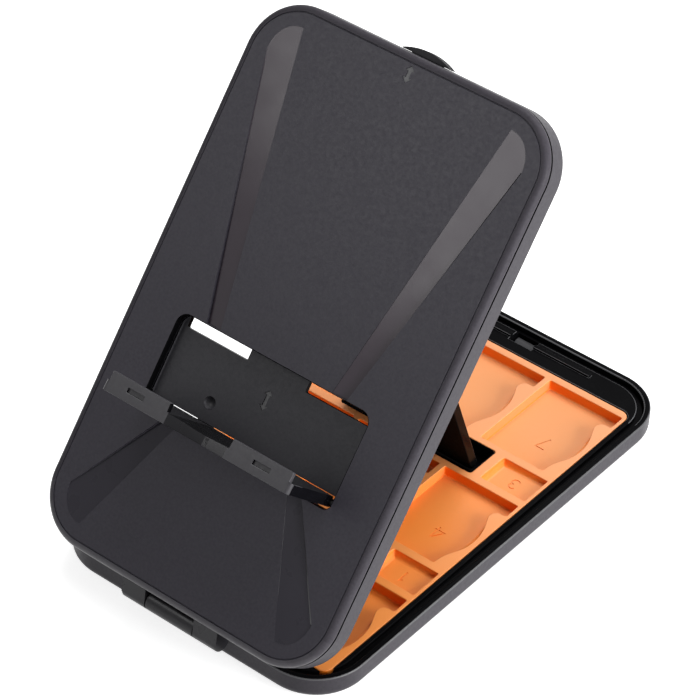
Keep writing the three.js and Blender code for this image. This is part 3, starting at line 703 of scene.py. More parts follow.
def recess_tool(name, spots, depth, fillet, scoop):
    """Cutter whose walls run into the floor by a fillet that widens to a scoop where asked."""
    loop = []
    for k, (x, y, share, radius) in enumerate(spots):
        here = Vector((x, y))
        if radius:
            back = (Vector(spots[k - 1][:2]) - here).normalized()
            on = (Vector(spots[(k + 1) % len(spots)][:2]) - here).normalized()
            for step in range(5):
                t = step / 4
                a, b = here + back * radius, here + on * radius
                loop.append((a * (1 - t) ** 2 + 2 * here * t * (1 - t) + b * t * t, share))
        else:
            loop.append((here, share))
    count = len(loop)
    inward = []
    for k in range(count):
        back = (loop[k][0] - loop[k - 1][0]).normalized()
        on = (loop[(k + 1) % count][0] - loop[k][0]).normalized()
        lean = Vector((-back.y - on.y, back.x + on.x)).normalized()
        inward.append(lean / max(0.5, lean.dot(Vector((-on.y, on.x)))))
    stack = []
    floor = TRAY_TOP - depth
    heights = [0, 0.03, 0.1, 0.2, 0.35, 0.55, 0.8, 1.1, 1.5, 1.9, 2.4, 2.9]
    for height in [h for h in heights if h < depth - 0.35] + [depth + 1]:
        ring = []
        for (spot, share), lean in zip(loop, inward):
            wide = fillet + (scoop - fillet) * share
            tall = min(wide, depth - 0.4)
            t = max(0.0, 1 - height / tall)
            ring.append(tuple(spot + lean * wide * (1 - math.sqrt(1 - t * t))))
        stack.append((ring, floor + height))
    return rings(name, stack)


def card_recess(name, x0, x1, near, pads):
    right = padded_side() if 1 in pads else plain_side()
    left = padded_side() if -1 in pads else plain_side()
    spots = [(x1 - i, near + a, s, r) for i, a, s, r in right]
    spots += [(x0 + i, near + a, s, r) for i, a, s, r in reversed(left)]
    return recess_tool(name, spots, RECESS_DEPTH, 0.4, 2.8)


def small_recess(name, side, middle_y):
    y0, y1 = middle_y - SMALL_WIDTH / 2, middle_y + SMALL_WIDTH / 2
    outer, inner = SIDE_OUTER, SIDE_OUTER - SMALL_LENGTH
    spots = [(outer, y0, 0, 0.5), (outer, y1, 0, 0.5), (inner, y1, 0.9, 0.8), (inner, y0, 0.9, 0.8)]
    spots = [(side * x, y, s, r) for x, y, s, r in spots]
    if side < 0:
        spots.reverse()
    return recess_tool(name, spots, SMALL_DEPTH, 0.35, 1.8)


def arc(cx, cy, rx, ry, first, last, steps=12):
    """Points round an oval between two angles in degrees."""
    angles = [math.radians(first + (last - first) * k / steps) for k in range(steps + 1)]
    return [(cx + rx * math.cos(a), cy + ry * math.sin(a)) for a in angles]


# Strokes of each figure, four units tall about its middle
BOWL = [arc(0, -0.85, 1.15, 1.15, 0, 180), arc(0, -0.85, 1.15, 1.15, 180, 360)]
SWEEP = [(0.95, 1.85), (0.45, 2.0)] + arc(0.35, -0.5, 1.5, 2.5, 105, 186, 10)
FIGURES = {
    1: [[(-0.75, 1.3), (0.1, 2), (0.1, -2)]],
    2: [arc(0, 0.9, 1.15, 1.1, 165, -35) + [(-1.15, -2), (1.25, -2)]],
    3: [arc(-0.1, 1.0, 1.05, 1.0, 155, -85), arc(-0.1, -0.9, 1.2, 1.1, 88, -155)],
    4: [[(0.55, -2), (0.55, 2)], [(0.35, 1.9), (-1.35, -0.9), (1.3, -0.9)]],
    5: [[(1.05, 2), (-0.85, 2), (-1.0, 0.1)], arc(-0.05, -0.75, 1.2, 1.25, 140, -150)],
    6: [SWEEP, *BOWL],
    7: [[(-1.2, 2), (1.2, 2), (-0.4, -2)]],
    8: [arc(0, 1.05, 0.95, 0.95, 0, 180), arc(0, 1.05, 0.95, 0.95, 180, 360), *BOWL[::-1]],
    9: [[(-x, -y) for x, y in stroke] for stroke in (SWEEP, *BOWL)],
}
STROKE = 0.46
SUNK = 0.22


def stroke_ribbon(points, x, y, floor, size):
    """One stroke of a figure as a thin cutter in a recess floor, read from the far side."""
    path = [Vector((x - px * size / 4, y - py * size / 4)) for px, py in points]
    left, right = [], []
    for k, spot in enumerate(path):
        back = (spot - path[k - 1]).normalized() if k else (path[1] - spot).normalized()
        on = (path[k + 1] - spot).normalized() if k + 1 < len(path) else back
        lean = Vector((-back.y - on.y, back.x + on.x)).normalized()
        lean *= STROKE / 2 / max(0.45, lean.dot(Vector((-on.y, on.x))))
        left.append(tuple(spot + lean))
        right.append(tuple(spot - lean))
    return plate("stroke", left + right[::-1], (floor - SUNK, floor + 0.6))


def join(name, pieces):
    only(pieces[0])
    for piece in pieces:
        piece.select_set(True)
    bpy.ops.object.join()
    return named(name)


def sink_figures(tray, places):
    """Cuts all the figures, stroke by stroke, so that no two cutters of a set cross."""
    for turn in range(4):
        strokes = [stroke_ribbon(FIGURES[figure][turn], *place) for figure, *place in places
                   if turn < len(FIGURES[figure])]
        cut(tray, join("strokes", strokes))


def card_insert():
    """Tray with nine card recesses, four small ones, the prop's well and sunk figures."""
    tray = slab("card_insert", (-TRAY_HALF, TRAY_HALF), (TRAY_NEAR, TRAY_FAR), (SEAT, TRAY_TOP))
    bevel(tray, upright, 3.0, 8)
    for near in ROW_NEAR:
        cut(tray, card_recess("recess", -MIDDLE_HALF, MIDDLE_HALF, near, SIDES))
        for side in SIDES:
            x0, x1 = span(side, SIDE_INNER, SIDE_OUTER)
            cut(tray, card_recess("recess", x0, x1, near, (side,)))
    between_rows = [near + (ROW_PITCH + RECESS_LENGTH) / 2 for near in ROW_NEAR[:2]]
    for y in between_rows:
        for side in SIDES:
            cut(tray, small_recess("small", side, y))
    cut(tray, plate("well", well_loop(0, WELL_CORNER), (0, 9)))
    side_x = (SIDE_INNER + SIDE_OUTER) / 2 + 0.5
    places = [(3 * row + column + 1, x, near + 13, TRAY_TOP - RECESS_DEPTH, CARD_FIGURE)
              for row, near in enumerate(ROW_NEAR) for column, x in enumerate((side_x, -2.5, -side_x))]
    places += [(2 * row + (1 if side > 0 else 2), side * (SIDE_OUTER - SMALL_LENGTH / 2), y,
                TRAY_TOP - SMALL_DEPTH, SMALL_FIGURE) for row, y in enumerate(between_rows) for side in SIDES]
    sink_figures(tray, places)
    bevel(tray, lambda e: at_level(TRAY_TOP)(e) and e.calc_face_angle(0) > 1, 0.28, 3)
    dress(tray, tray_orange, tray_rim_painted_highlight, tray_wall_painted_shade, tray_scoop_painted_shade)
    # Painted shade on the walls that face the hinge side.
    paint(tray, tray_wall_painted_shade, lambda c, n: n.z < 0.3 and n.y < -0.5)
    # Painted shade on the sloped scoop and fillet faces.
    paint(tray, tray_scoop_painted_shade, lambda c, n: 0.05 < n.z < 0.96)
    # Painted highlight on the rim tops and their bevels.
    paint(tray, tray_rim_painted_highlight, lambda c, n: c.z > TRAY_TOP - 0.3 and n.z > 0.3)
    return finish(tray, "base", "tray_orange", "card_tray")


# Lid

def cover_screws():
    ends = (COVER_SCREW_FROM_END, LENGTH - COVER_SCREW_FROM_END)
    return [(side * (HALF - COVER_SCREW_INSET), y) for side in SIDES for y in ends]


def panel_screws():
    x = WINDOW_HALF + PANEL_WALL + 2.4
    return [(side * x, y) for side in SIDES for y in (PANEL_NEAR + 5, WINDOW_FAR - 5)]


def lid_rim():
    """Wall ring with the outer hinge knuckles, a flange, the prop's band and ears, and screw pads."""
    rim = slab("lid_rim", (-HALF, HALF), (0, LENGTH), (BASE_H, FRAME_TOP))
    bevel(rim, upright, CORNER, CORNER_STEPS)
    bevel(rim, at_level(BASE_H), 0.3, 3)
    bevel(rim, at_level(FRAME_TOP), 0.3, 3)
    cut(rim, plate("cavity", case_loop(WALL), (BASE_H - 1, FLANGE_BOTTOM)))
    cut(rim, plate("opening", case_loop(WALL + 3), (BASE_H - 1, FRAME_TOP + 1)))
    relief = BASE_KNUCKLE + GAP
    cut(rim, rod("relief", (-relief, relief), HINGE_Y, HINGE_Z, BARREL + GAP))
    high = HINGE_Z + BARREL + 2.1
    for side in SIDES:
        x = span(side, relief, LID_KNUCKLE)
        leaf = run_x("leaf", [(HINGE_Y, HINGE_Z), (0, BASE_H + 0.4), (WALL / 2, BASE_H + 0.4),
                              (WALL / 2, high), (0, high),
                              (HINGE_Y - 0.6 * BARREL, HINGE_Z + 0.8 * BARREL)], x)
        barrel = rod("barrel", x, HINGE_Y, HINGE_Z, BARREL)
        bevel(barrel, lambda e: abs(abs(middle(e).x) - LID_KNUCKLE) < 0.01, 0.4, 2)
        weld(rim, leaf, barrel)
    cut(rim, rod("bore", (0.15 - LID_KNUCKLE, LID_KNUCKLE - 0.15), HINGE_Y, HINGE_Z, PIN_BORE, 32))
    band_end = HALF - WALL - 1.5
    band = slab("band", (-band_end, band_end), (PROP_Y - 8, PROP_Y + 8), (FLANGE_BOTTOM, FRAME_TOP))
    bevel(band, lambda e: abs(middle(e).z - FLANGE_BOTTOM) < 0.01 and abs(middle(e).x) < 1, 0.3, 2)
    weld(rim, band)
    for side in SIDES:
        x = span(side, PROP_HALF + 0.5, PROP_HALF + 3.3)
        ear = run_x("ear", ear_profile(), x)
        bevel(ear, lambda e: abs(e.verts[0].co.x - e.verts[1].co.x) < 1e-6, 0.25, 2)
        weld(rim, ear)
        cut(rim, rod("ear_bore", (x[0] - 0.5, x[1] + 1), PROP_Y, PROP_Z, PIN_BORE, 32))
    for x, y in cover_screws():
        side = 1 if x > 0 else -1
        weld(rim, slab("screw_pad", span(side, abs(x) - 4, HALF - WALL / 2), (y - 4, y + 4),
                       (FLANGE_BOTTOM, FRAME_TOP)))
        cut(rim, post("screw_hole", x, y, (FLANGE_BOTTOM - 1, FRAME_TOP + 1), SCREW_HOLE, 24))
    cut(rim, slab("tab_slot", (-TONGUE_HALF - GAP, TONGUE_HALF + GAP), (LENGTH - WALL - 1, LENGTH + 1),
                  (TAB_LOW + TONGUE_TRIM - GAP, TAB_HIGH - TONGUE_TRIM + GAP)))
    dress(rim, rim_grey, gloss_black_and_painted_shade, hinge_black_and_painted_highlight, inner_charcoal)
    paint(rim, inner_charcoal, lambda c, n: inside_case(c, WALL - 0.1) or n.z < -0.5 and c.z > BASE_H + 1)
    # Painted shade: the slit by the middle knuckle, and the rim's top bevel under the cover's edge, are
    # painted black.
    paint(rim, gloss_black_and_painted_shade, lambda c, n: (abs(c.x) < relief + 0.1 and c.y < 1.5
                                           and c.z < HINGE_Z + BARREL + 0.5))
    paint(rim, gloss_black_and_painted_shade, lambda c, n: c.z > FRAME_TOP - 0.32 and 0.2 < n.z < 0.97)
    paint(rim, hinge_black_and_painted_highlight, lambda c, n: c.y < -0.02)
    return finish(rim, "lid", "frame_grey", "lid_frame")


def ear_profile():
    """Prop ear: a rooted tongue with a round end about the prop's pin."""
    radius, root = 2.4, 4.8
    angles = [math.pi + k / 16 * math.pi for k in range(17)]
    tip = [(PROP_Y + radius * math.cos(a), PROP_Z + radius * math.sin(a)) for a in angles]
    return [(PROP_Y - root, FRAME_TOP), (PROP_Y - root, FLANGE_BOTTOM), *tip,
            (PROP_Y + root, FLANGE_BOTTOM), (PROP_Y + root, FRAME_TOP)]


def ramp_tool(side, flush, deep):
    """Shallow twisted ramp: flush at its round outer end, sunk along its outer edge at the window."""
    way = 1 if deep > flush else -1
    outer, turn, tip = RAMP_OUTER, RAMP_TURN, RAMP_TIP
    reach = abs(deep - flush)
    round_end = curve([(outer, turn), (outer, 5.0), (outer - 2.5, 0.3), (tip + 0.4, 0.05)], 10)
    stations = [(p.y, p.x) for p in reversed(round_end)]
    stations += [(turn + (reach - turn) * k / 12, outer + (RAMP_WINDOW_OUTER - outer) * k / 12)
                 for k in range(13)]
    stack = []
    for along, edge in stations:
        share = along / reach
        inner = tip + (RAMP_WINDOW_INNER - tip) * share
        shallow, sunk = LID_TOP - 0.02 - 0.12 * share, LID_TOP - 0.03 - RAMP_DEPTH * share
        crease = min(0.3 if way < 0 else 0.6, (edge - inner) / 3)
        loop = [(inner, LID_TOP + 1), (inner, shallow), (edge - crease, sunk),
                (edge - crease / 2, sunk - 0.35 * share), (edge, sunk), (edge, LID_TOP + 1)]
        stack.append(([(side * x, z) for x, z in loop], flush + way * along))
    return rings("ramp", stack, "xzy")


def paint_ramps(cover, upper, lower, wanted, from_window, from_end, sunk):
    """Gives the upper and lower ramps different finishes where wanted, clear of the window and of their flush
    ends: one pair a painted highlight, the other a painted shade.
    """
    def on_ramp(c, y0, y1):
        return LID_TOP - 1.4 < c.z < LID_TOP - sunk and RAMP_WINDOW_INNER - 0.5 < abs(c.x) and y0 < c.y < y1

    paint(cover, upper, lambda c, n: wanted(c, n) and on_ramp(c, WINDOW_FAR + from_window, LENGTH - from_end))
    paint(cover, lower, lambda c, n: wanted(c, n) and on_ramp(c, from_end, WINDOW_NEAR - from_window))


def arrow_tool(ends, z, head):
    """Plain double-headed arrow to sink in a face."""
    (y0, y1), mid = ends, 0.4 * head
    loop = [(0, y1), (-head, y1 - head), (-mid, y1 - head), (-mid, y0 + head), (-head, y0 + head), (0, y0),
            (head, y0 + head), (mid, y0 + head), (mid, y1 - head), (head, y1 - head)]
    return plate("arrow", [(ARROW_X + x, y) for x, y in loop], z)


def on_arrow(c, ends):
    return abs(c.x) < 2 and ends[0] - 0.2 < c.y < ends[1] + 0.2


def lid_face():
    """Face with a soft band, a groove round it, four ramps and the window."""
    cover = slab("lid_face", (-HALF, HALF), (0, LENGTH), (COVER_BOTTOM, LID_TOP))
    bevel(cover, upright, CORNER, CORNER_STEPS)
    bevel(cover, at_level(LID_TOP), 1.75, 6)
    pick(cover, "FACE", facing_up(LID_TOP))
    bpy.ops.mesh.inset(thickness=0.2 * MM, depth=0)
    bpy.ops.mesh.inset(thickness=0.18 * MM, depth=-0.28 * MM)
    bpy.ops.mesh.inset(thickness=0.1 * MM, depth=0)
    bpy.ops.mesh.inset(thickness=0.18 * MM, depth=0.28 * MM)
    close()
    bevel(cover, at_level(COVER_BOTTOM), 0.3, 3)
    for side in SIDES:
        x = span(side, WINDOW_HALF - 1, WINDOW_HALF + 4.3)
        weld(cover, slab("boss", x, (LEDGE_Y - 2.5, LEDGE_Y + 2.5), (COVER_BOTTOM - 2.2, COVER_BOTTOM + 1)))
    cut(cover, plate("window", window_loop(), (0, LID_TOP + 1)))
    bevel(cover, lambda e: at_level(LID_TOP)(e) and in_window(middle(e)), 0.25, 3)
    for side in SIDES:
        cut(cover, ramp_tool(side, LENGTH - RAMP_INSET, WINDOW_FAR + 0.4),
            ramp_tool(side, RAMP_INSET, WINDOW_NEAR - 0.4))
        x = span(side, WINDOW_HALF - 3.3, WINDOW_HALF + 4)
        cut(cover, rod("pin_bore", x, LEDGE_Y, LEDGE_Z, LEDGE_BORE, 24))
    cut(cover, arrow_tool(LID_ARROW, (LID_TOP - 0.25, LID_TOP + 1), 1.5))
    for x, y in cover_screws() + panel_screws():
        cut(cover, post("screw_hole", x, y, (COVER_BOTTOM - 1, COVER_BOTTOM + 1.3), SCREW_HOLE, 24))
    dress(cover, charcoal, ramp_painted_highlight, gloss_black_and_painted_shade, mark_grey_and_painted_highlight, ramp_shade, *painted_sheen_bands, inner_charcoal)
    # Painted highlight on the upper ramps and painted shade on the lower ones.
    paint_ramps(cover, ramp_painted_highlight, ramp_shade, lambda c, n: n.z > 0.7 and abs(c.x) < RAMP_OUTER + 0.5,
                0.3, RAMP_INSET - 0.1, 0.01)
    # Right ramps' creases: black as a painted shade on the upper ones, light grey as a painted highlight on
    # the lower ones.
    paint_ramps(cover, gloss_black_and_painted_shade, mark_grey_and_painted_highlight, lambda c, n: n.z < 0.95 and 0 < c.x < RAMP_OUTER + 0.2,
                0.35, RAMP_INSET + 0.5, 0.03)
    # Painted shade: the window's walls are painted black.
    paint(cover, gloss_black_and_painted_shade, lambda c, n: (n.z < 0.97 and abs(c.x) < WINDOW_HALF + 0.3
                                             and WINDOW_NEAR - 0.3 < c.y < WINDOW_FAR + 0.3))
    # Painted sheen: band faces nearer the hinge-side edge get the glossier copies of its plastic.
    for band, near in zip(painted_sheen_bands, (LENGTH, 0.8 * CORNER, 0.5 * CORNER, 0.2 * CORNER)):
        paint(cover, band, lambda c, n: c.y < near and not inside_case(c, 1.9))
    paint(cover, mark_grey_and_painted_highlight, lambda c, n: n.z > 0.9 and c.z < LID_TOP - 0.2 and on_arrow(c, LID_ARROW))
    paint(cover, inner_charcoal, lambda c, n: n.z < -0.3 or c.z < COVER_BOTTOM)
    return finish(cover, "lid", "shell", "lid_cover", smooth=32)


def window_loop():
    far = round_loop(-WINDOW_HALF, WINDOW_HALF, WINDOW_NEAR, WINDOW_FAR, 3.3, 10)[:22]
    near = round_loop(-WINDOW_HALF, WINDOW_HALF, WINDOW_NEAR, WINDOW_FAR, 2.0, 10)[22:]
    return far + near


def in_window(c):
    return abs(c.x) < WINDOW_HALF + 0.01 and WINDOW_NEAR - 0.01 < c.y < WINDOW_FAR + 0.01


def window_pan():
    """Floor of the window with two notches for the ledge's lips, walls and screw tabs."""
    low, half, far = PANEL_FLOOR - PANEL_WALL, WINDOW_HALF + PANEL_WALL, WINDOW_FAR + PANEL_WALL
    pan = plate("window_pan", round_loop(-half, half, PANEL_NEAR - 6, far, 4.5, 8), (low, FRAME_TOP))
    cut(pan, slab("near_end", (-half - 1, half + 1), (PANEL_NEAR - 8, PANEL_NEAR - 0.5),
                  (low - 1, FRAME_TOP + 1)))
    weld(pan, slab("near_lip", (0.1 - WINDOW_HALF, WINDOW_HALF - 0.1), (LEDGE_Y + 1.6, PANEL_NEAR + 1),
                   (low, PANEL_FLOOR + 0.2)))
    hollow = plate("hollow", round_loop(-WINDOW_HALF, WINDOW_HALF, PANEL_NEAR - 12, WINDOW_FAR, 3.3, 10),
                   (PANEL_FLOOR, FRAME_TOP + 1))
    bevel(hollow, at_level(PANEL_FLOOR), 0.5, 4)
    cut(pan, hollow)
    for side in SIDES:
        x = span(side, LIP_INNER - 0.4, LIP_OUTER + 0.4)
        notch = round_loop(*x, WINDOW_FAR - 3.6, WINDOW_FAR, 0.4, 4)
        cut(pan, plate("notch", notch, (low - 1, PANEL_FLOOR + 1)))
    cut(pan, dimple_tool(-15.2, 53.1))
    cut(pan, arrow_tool(PAN_ARROW, (PANEL_FLOOR - 0.3, PANEL_FLOOR + 1), 1.4))
    for x, y in panel_screws():
        side = 1 if x > 0 else -1
        weld(pan, slab("tab", span(side, half - 0.75, half + 4.8), (y - 3, y + 3),
                       (FLANGE_BOTTOM, FRAME_TOP)))
        cut(pan, post("screw_hole", x, y, (low, FRAME_TOP + 1), SCREW_HOLE, 24))
    dress(pan, pan_black, gloss_black_and_painted_shade, mark_grey_and_painted_highlight, inner_charcoal)
    # Painted shade: the panel's upright faces are painted black.
    paint(pan, gloss_black_and_painted_shade, lambda c, n: abs(n.z) < 0.5)
    paint(pan, inner_charcoal, lambda c, n: n.z < -0.5)
    paint(pan, mark_grey_and_painted_highlight, lambda c, n: n.z > 0.9 and c.z < PANEL_FLOOR - 0.2 and on_arrow(c, PAN_ARROW))
    return finish(pan, "lid", "panel_black", "recess_panel")


def dimple_tool(x, y):
    """Ball that sinks a round dimple in the window's floor."""
    deselect()
    bpy.ops.mesh.primitive_uv_sphere_add(segments=32, ring_count=16, radius=2.2 * MM,
                                         location=(x * MM, y * MM, (PANEL_FLOOR + 1.15) * MM))
    settle()
    return named("dimple")


def thumb_grip():
    """Bowed tab with moulded ridges and a tongue through the rim."""
    half, proud, low, high = 8.3, 1.8, TAB_LOW, TAB_HIGH
    radius = (half ** 2 + proud ** 2) / (2 * proud)
    reach = math.asin(half / radius)
    centre = LENGTH + GAP + proud - radius

    def bow(inset, trim):
        angles = [math.pi / 2 + (reach - trim) * (k / 24 - 1) for k in range(49)]
        return [((radius - inset) * math.cos(a), centre + (radius - inset) * math.sin(a)) for a in angles]

    stack = [(bow(0.18, 0.02), low), (bow(0, 0), low + 0.2)]
    for k in range(5):
        z = low + 0.35 + 0.42 * k
        stack += [(bow(0, 0), z), (bow(0.14, 0), z + 0.1), (bow(0.14, 0), z + 0.2), (bow(0, 0), z + 0.3)]
    stack += [(bow(0, 0), high - 0.2), (bow(0.18, 0.02), high)]
    grip = rings("thumb_grip", stack)
    weld(grip, slab("tongue", (-TONGUE_HALF, TONGUE_HALF), (LENGTH - WALL - 0.5, LENGTH + 0.8),
                    (low + TONGUE_TRIM, high - TONGUE_TRIM)))
    dress(grip, thumb_grey_and_painted_shade)
    return finish(grip, "lid", "ledge_grey", "thumb_tab")


def screws():
    """One cross-slotted screw, copied to every place."""
    head_top = FLANGE_BOTTOM - GAP
    tip = COVER_BOTTOM + 1.0
    screw = post("screw", 0, 0, (head_top - 1.1, head_top), 1.7, 32)
    bevel(screw, at_level(head_top - 1.1), 0.45, 4)
    weld(screw, post("shank", 0, 0, (head_top - 0.4, tip), 0.8, 24))
    for turn in (0, math.pi / 2):
        slot = slab("slot", (-1.05, 1.05), (-0.24, 0.24), (head_top - 2, head_top - 0.6))
        only(slot)
        slot.rotation_euler.z = turn
        settle()
        cut(screw, slot)
    dress(screw, steel)
    for group, places in (("cover_screw", cover_screws()), ("panel_screw", panel_screws())):
        for k, (x, y) in enumerate(places):
            twin = copy_of(screw, f"{group}_head_{k + 1}", (x, y, 0))
            finish(twin, "lid", "steel", f"{group}_{k + 1}")
    bpy.data.objects.remove(screw)


# Ledge, modelled about its pivot: it stands out along Z and its top faces Y

def sag(x, out):
    """Slight moulding dent in the shelf's top between the lips, deepest at the front."""
    across = max(0.0, 1 - ((x - 2.0) / 9.0) ** 2)
    along = max(0.0, min(1.0, (out - 4.0) / (LEDGE_REACH - 4.0)))
    return 0.3 * across ** 2 * along ** 2


def ledge_shelf():
    """Shelf with a round heel about its pin and two lips with shallow pockets."""
    top, root = LEDGE_TOP, LEDGE_ROOT
    heel = [(root * math.cos(a), root * math.sin(a)) for a in [math.pi * (1 + k / 10) for k in range(11)]]
    outs = [LEDGE_REACH * k / 12 for k in range(13)]
    stack = []
    for k in range(45):
        x = LEDGE_HALF * (k / 22 - 1)
        stack.append(([(top - sag(x, out), out) for out in outs] + [(-root, LEDGE_REACH)] + heel, x))
    shelf = rings("ledge_shelf", stack, "yzx")
    plan = round_loop(-LEDGE_HALF, LEDGE_HALF, -LEDGE_REACH, LEDGE_REACH, 1.2, 6)
    combine(shelf, rings("corners", [(plan, -9), (plan, 9)], "xzy"), "INTERSECT")
    lip_top = top + LIP_HEIGHT
    lip_loop = [(LIP_INNER, top - 0.9), (LIP_OUTER, top - 0.9), (LIP_OUTER, lip_top),
                (LIP_INNER + 0.3, lip_top)]
    for side in SIDES:
        lip = plate("lip", [(side * x, y) for x, y in lip_loop], (LEDGE_REACH - LIP_THICK, LEDGE_REACH))
        bevel(lip, lambda e: max(v.co.y for v in e.verts) > (top + 0.1) * MM, 0.22, 3)
        weld(shelf, lip)
        cut(shelf, slab("lip_pocket", span(side, POCKET_X - 2.9, POCKET_X + 2.9), (top - 0.65, top + 0.65),
                        (LEDGE_REACH - 0.8, LEDGE_REACH + 1)))
        x = span(side, WINDOW_HALF - 3.6, WINDOW_HALF + 3.7)
        cut(shelf, rod("pin_bore", x, 0, 0, LEDGE_BORE, 24))
    soften(shelf, 0.14, 2, 55)
    dress(shelf, ledge_grey, ledge_gloss_and_painted_shade, charcoal, gloss_black_and_painted_shade, thumb_grey_and_painted_shade, painted_edge_highlight, hinge_black_and_painted_highlight)
    paint(shelf, ledge_gloss_and_painted_shade, lambda c, n: n.y > 0.5 and c.y < top + 0.3 and c.z < LEDGE_REACH - 0.9)
    # Painted shade: the top between the lips and the lips' inner ends are painted black.
    paint(shelf, gloss_black_and_painted_shade, lambda c, n: (abs(c.x) < LIP_INNER + 0.35 and c.z > 3
                                             and (n.y > 0.5 or c.y > top + 0.1)))
    # The front between the lips is painted darker as shade, with its right part less dark as a painted
    # highlight.
    for front, from_x in ((thumb_grey_and_painted_shade, -LIP_INNER), (hinge_black_and_painted_highlight, 3.5)):
        paint(shelf, front, lambda c, n: (from_x < c.x < LIP_INNER and c.z > LEDGE_REACH - 0.3
                                          and c.y < top and n.y < 0.5))
    # Painted shade: the walls of the lip pockets are painted black.
    paint(shelf, gloss_black_and_painted_shade, lambda c, n: (abs(abs(c.x) - POCKET_X) < 3.2 and abs(c.y - top) < 0.75
                                             and abs(n.z) < 0.5
                                             and LEDGE_REACH - 0.85 < c.z < LEDGE_REACH - 0.1))
    # Painted highlight on the bevels of the front edge below the lips.
    paint(shelf, painted_edge_highlight, lambda c, n: (LIP_INNER < abs(c.x) < LIP_OUTER and c.z > LEDGE_REACH - 0.2
                                          and 0.2 < n.z < 0.95 and n.y < 0.9 and c.y < top - 0.7))
    # Painted shade: the shelf's ends are black behind their front part.
    paint(shelf, ledge_gloss_and_painted_shade, lambda c, n: abs(c.x) > LEDGE_HALF - 0.3 and c.z < LEDGE_REACH - 7)
    paint(shelf, charcoal, lambda c, n: n.y < -0.5 and c.z < LEDGE_REACH - 0.3)
    return finish(shelf, "ledge", "ledge_grey", "console_ledge")


# Prop, modelled about its pivot: it hangs along -Z and its back faces Y

def prop_plate():
    """Flat strut with a barrel at its pin, a waist that passes the ledge's lips and a bevelled foot."""
    half = PROP_THICK / 2
    slope = half * math.tan(LEAN)
    profile = [(half, 0), (-half, 0), (-half, 6.5 - PROP_LENGTH), (0, -PROP_LENGTH),
               (half, slope - PROP_LENGTH)]
    strut = run_x("prop_plate", profile, (-PROP_HALF, PROP_HALF))
    outline = round_loop(-PROP_HALF, PROP_HALF, -PROP_LENGTH, PROP_LENGTH, 5.0, 8)
    combine(strut, rings("outline", [(outline, -9), (outline, 9)], "xzy"), "INTERSECT")
    lips_at = PROP_Y - LEDGE_Y - LEDGE_REACH
    for side in SIDES:
        x = span(side, LIP_INNER - 0.7, PROP_HALF + 1)
        cut(strut, slab("waist", x, (-half - 1, half + 1), (-lips_at - 3.6, 2 - lips_at)))
    soften(strut, 0.35, 3, 40)
    barrel = rod("barrel", (-PROP_HALF, PROP_HALF), 0, 0, 2.2)
    bevel(barrel, lambda e: abs(abs(middle(e).x) - PROP_HALF) < 0.01, 0.25, 2)
    weld(strut, barrel)
    for side in SIDES:
        x = span(side, PROP_HALF - 4, PROP_HALF + 1)
        cut(strut, rod("pin_bore", x, 0, 0, PIN_BORE, 32))
    dress(strut, prop_gloss_painted_shade, prop_painted_shade, inner_charcoal)
    # Painted shade: the prop's front face and edges stay near black, and only the back gets its own charcoal.
    paint(strut, prop_painted_shade, lambda c, n: abs(n.y) > 0.7)
    paint(strut, inner_charcoal, lambda c, n: n.y > 0.3)
    return finish(strut, "prop", "gloss_black", "prop_strut")


base_tub()
foot_pads()
inner_surround()
latch_block()
card_insert()
lid_rim()
lid_face()
window_pan()
thumb_grip()
screws()
ledge_shelf()
prop_plate()
for pin in ("hinge_pin", "prop_pin_left", "prop_pin_right"):
    dress(frame["nodes"][pin], steel)
for pin in ("ledge_pin_left", "ledge_pin_right"):
    dress(frame["nodes"][pin], dark_steel)


# Studio

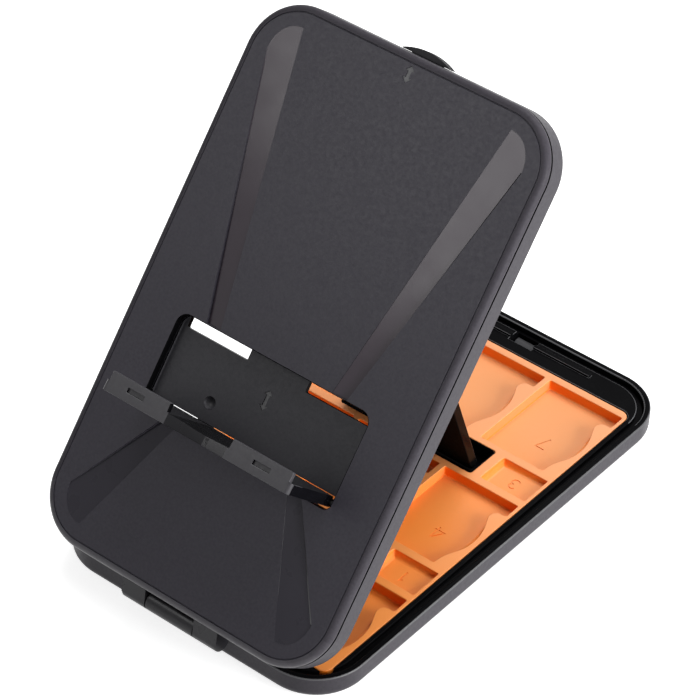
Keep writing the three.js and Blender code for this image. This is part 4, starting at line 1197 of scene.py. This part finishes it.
def studio():
    """White paper floor, white room and four soft lamps."""
    scene = bpy.context.scene
    scene.view_settings.view_transform = "Standard"
    deselect()
    bpy.ops.mesh.primitive_plane_add(size=6)
    floor = named("studio_floor")
    paper = shader("white_paper", (0.8, 0.8, 0.8), 0.9)
    nodes, links = paper.node_tree.nodes, paper.node_tree.links
    glow = nodes.new("ShaderNodeEmission")
    glow.inputs["Strength"].default_value = 0.8
    both = nodes.new("ShaderNodeAddShader")
    plain = nodes["Principled BSDF"].outputs["BSDF"]
    links.new(plain, both.inputs[0])
    links.new(glow.outputs["Emission"], both.inputs[1])
    show(nodes, links, plain, both.outputs["Shader"], "Material Output")
    dress(floor, paper)

    world = bpy.data.worlds.new("white_room")
    scene.world = world
    world.use_nodes = True
    nodes, links = world.node_tree.nodes, world.node_tree.links
    back = nodes["Background"]
    back.inputs["Color"].default_value = (1, 1, 1, 1)
    back.inputs["Strength"].default_value = 0.22
    seen = nodes.new("ShaderNodeBackground")
    seen.inputs["Color"].default_value = (1, 1, 1, 1)
    seen.inputs["Strength"].default_value = 1.0
    show(nodes, links, back.outputs["Background"], seen.outputs["Background"], "World Output")

    softbox("top_softbox", (0.0, 0.5, 1.1), (0.0, 0.02, 0.05), 0.9, 10.5)
    softbox("side_softbox", (0.95, 0.25, 0.45), (0.0, 0.0, 0.05), 0.6, 4)
    softbox("tray_fill", (0.62, 0.0, 0.2), (0.02, -0.02, 0.02), 0.35, 3.2)
    card = softbox("sheen_card", (-0.19, -0.335, 0.405), (0.0, -0.02, 0.11), 0.22, 0.65)
    card.visible_diffuse = False


def show(nodes, links, plain, seen, output):
    """Lights with one shader, and shows the other to the camera, mirrors and glass."""
    path = nodes.new("ShaderNodeLightPath")
    total = path.outputs["Is Camera Ray"]
    for name in ("Is Glossy Ray", "Is Transmission Ray"):
        add = nodes.new("ShaderNodeMath")
        add.operation = "MAXIMUM"
        links.new(total, add.inputs[0])
        links.new(path.outputs[name], add.inputs[1])
        total = add.outputs["Value"]
    mix = nodes.new("ShaderNodeMixShader")
    links.new(total, mix.inputs["Fac"])
    links.new(plain, mix.inputs[1])
    links.new(seen, mix.inputs[2])
    links.new(mix.outputs["Shader"], nodes[output].inputs["Surface"])


def softbox(name, place, aim, size, power):
    bpy.ops.object.light_add(type="AREA", location=place)
    lamp = bpy.context.object
    lamp.name = name
    lamp.data.shape = "SQUARE"
    lamp.data.size = size
    lamp.data.energy = power
    lamp.rotation_euler = (Vector(aim) - Vector(place)).to_track_quat("-Z", "Y").to_euler()
    return lamp


CAMERA_PLACE = Vector((0.43850, -0.57674, 0.65197))
CAMERA_AIM = Vector((-0.00526, -0.00088, 0.05))
CAMERA_ROLL = math.radians(2.326)


def camera():
    look = CAMERA_AIM - CAMERA_PLACE
    bpy.ops.object.camera_add(location=CAMERA_PLACE)
    eye = bpy.context.object
    eye.name = "photo_view"
    eye.data.lens = 173.9
    eye.data.sensor_width = 36
    eye.data.clip_end = 20
    eye.rotation_euler = (look.to_track_quat("-Z", "Y").to_matrix()
                          @ Matrix.Rotation(CAMERA_ROLL, 3, "Z")).to_euler()
    bpy.context.scene.camera = eye


studio()
camera()
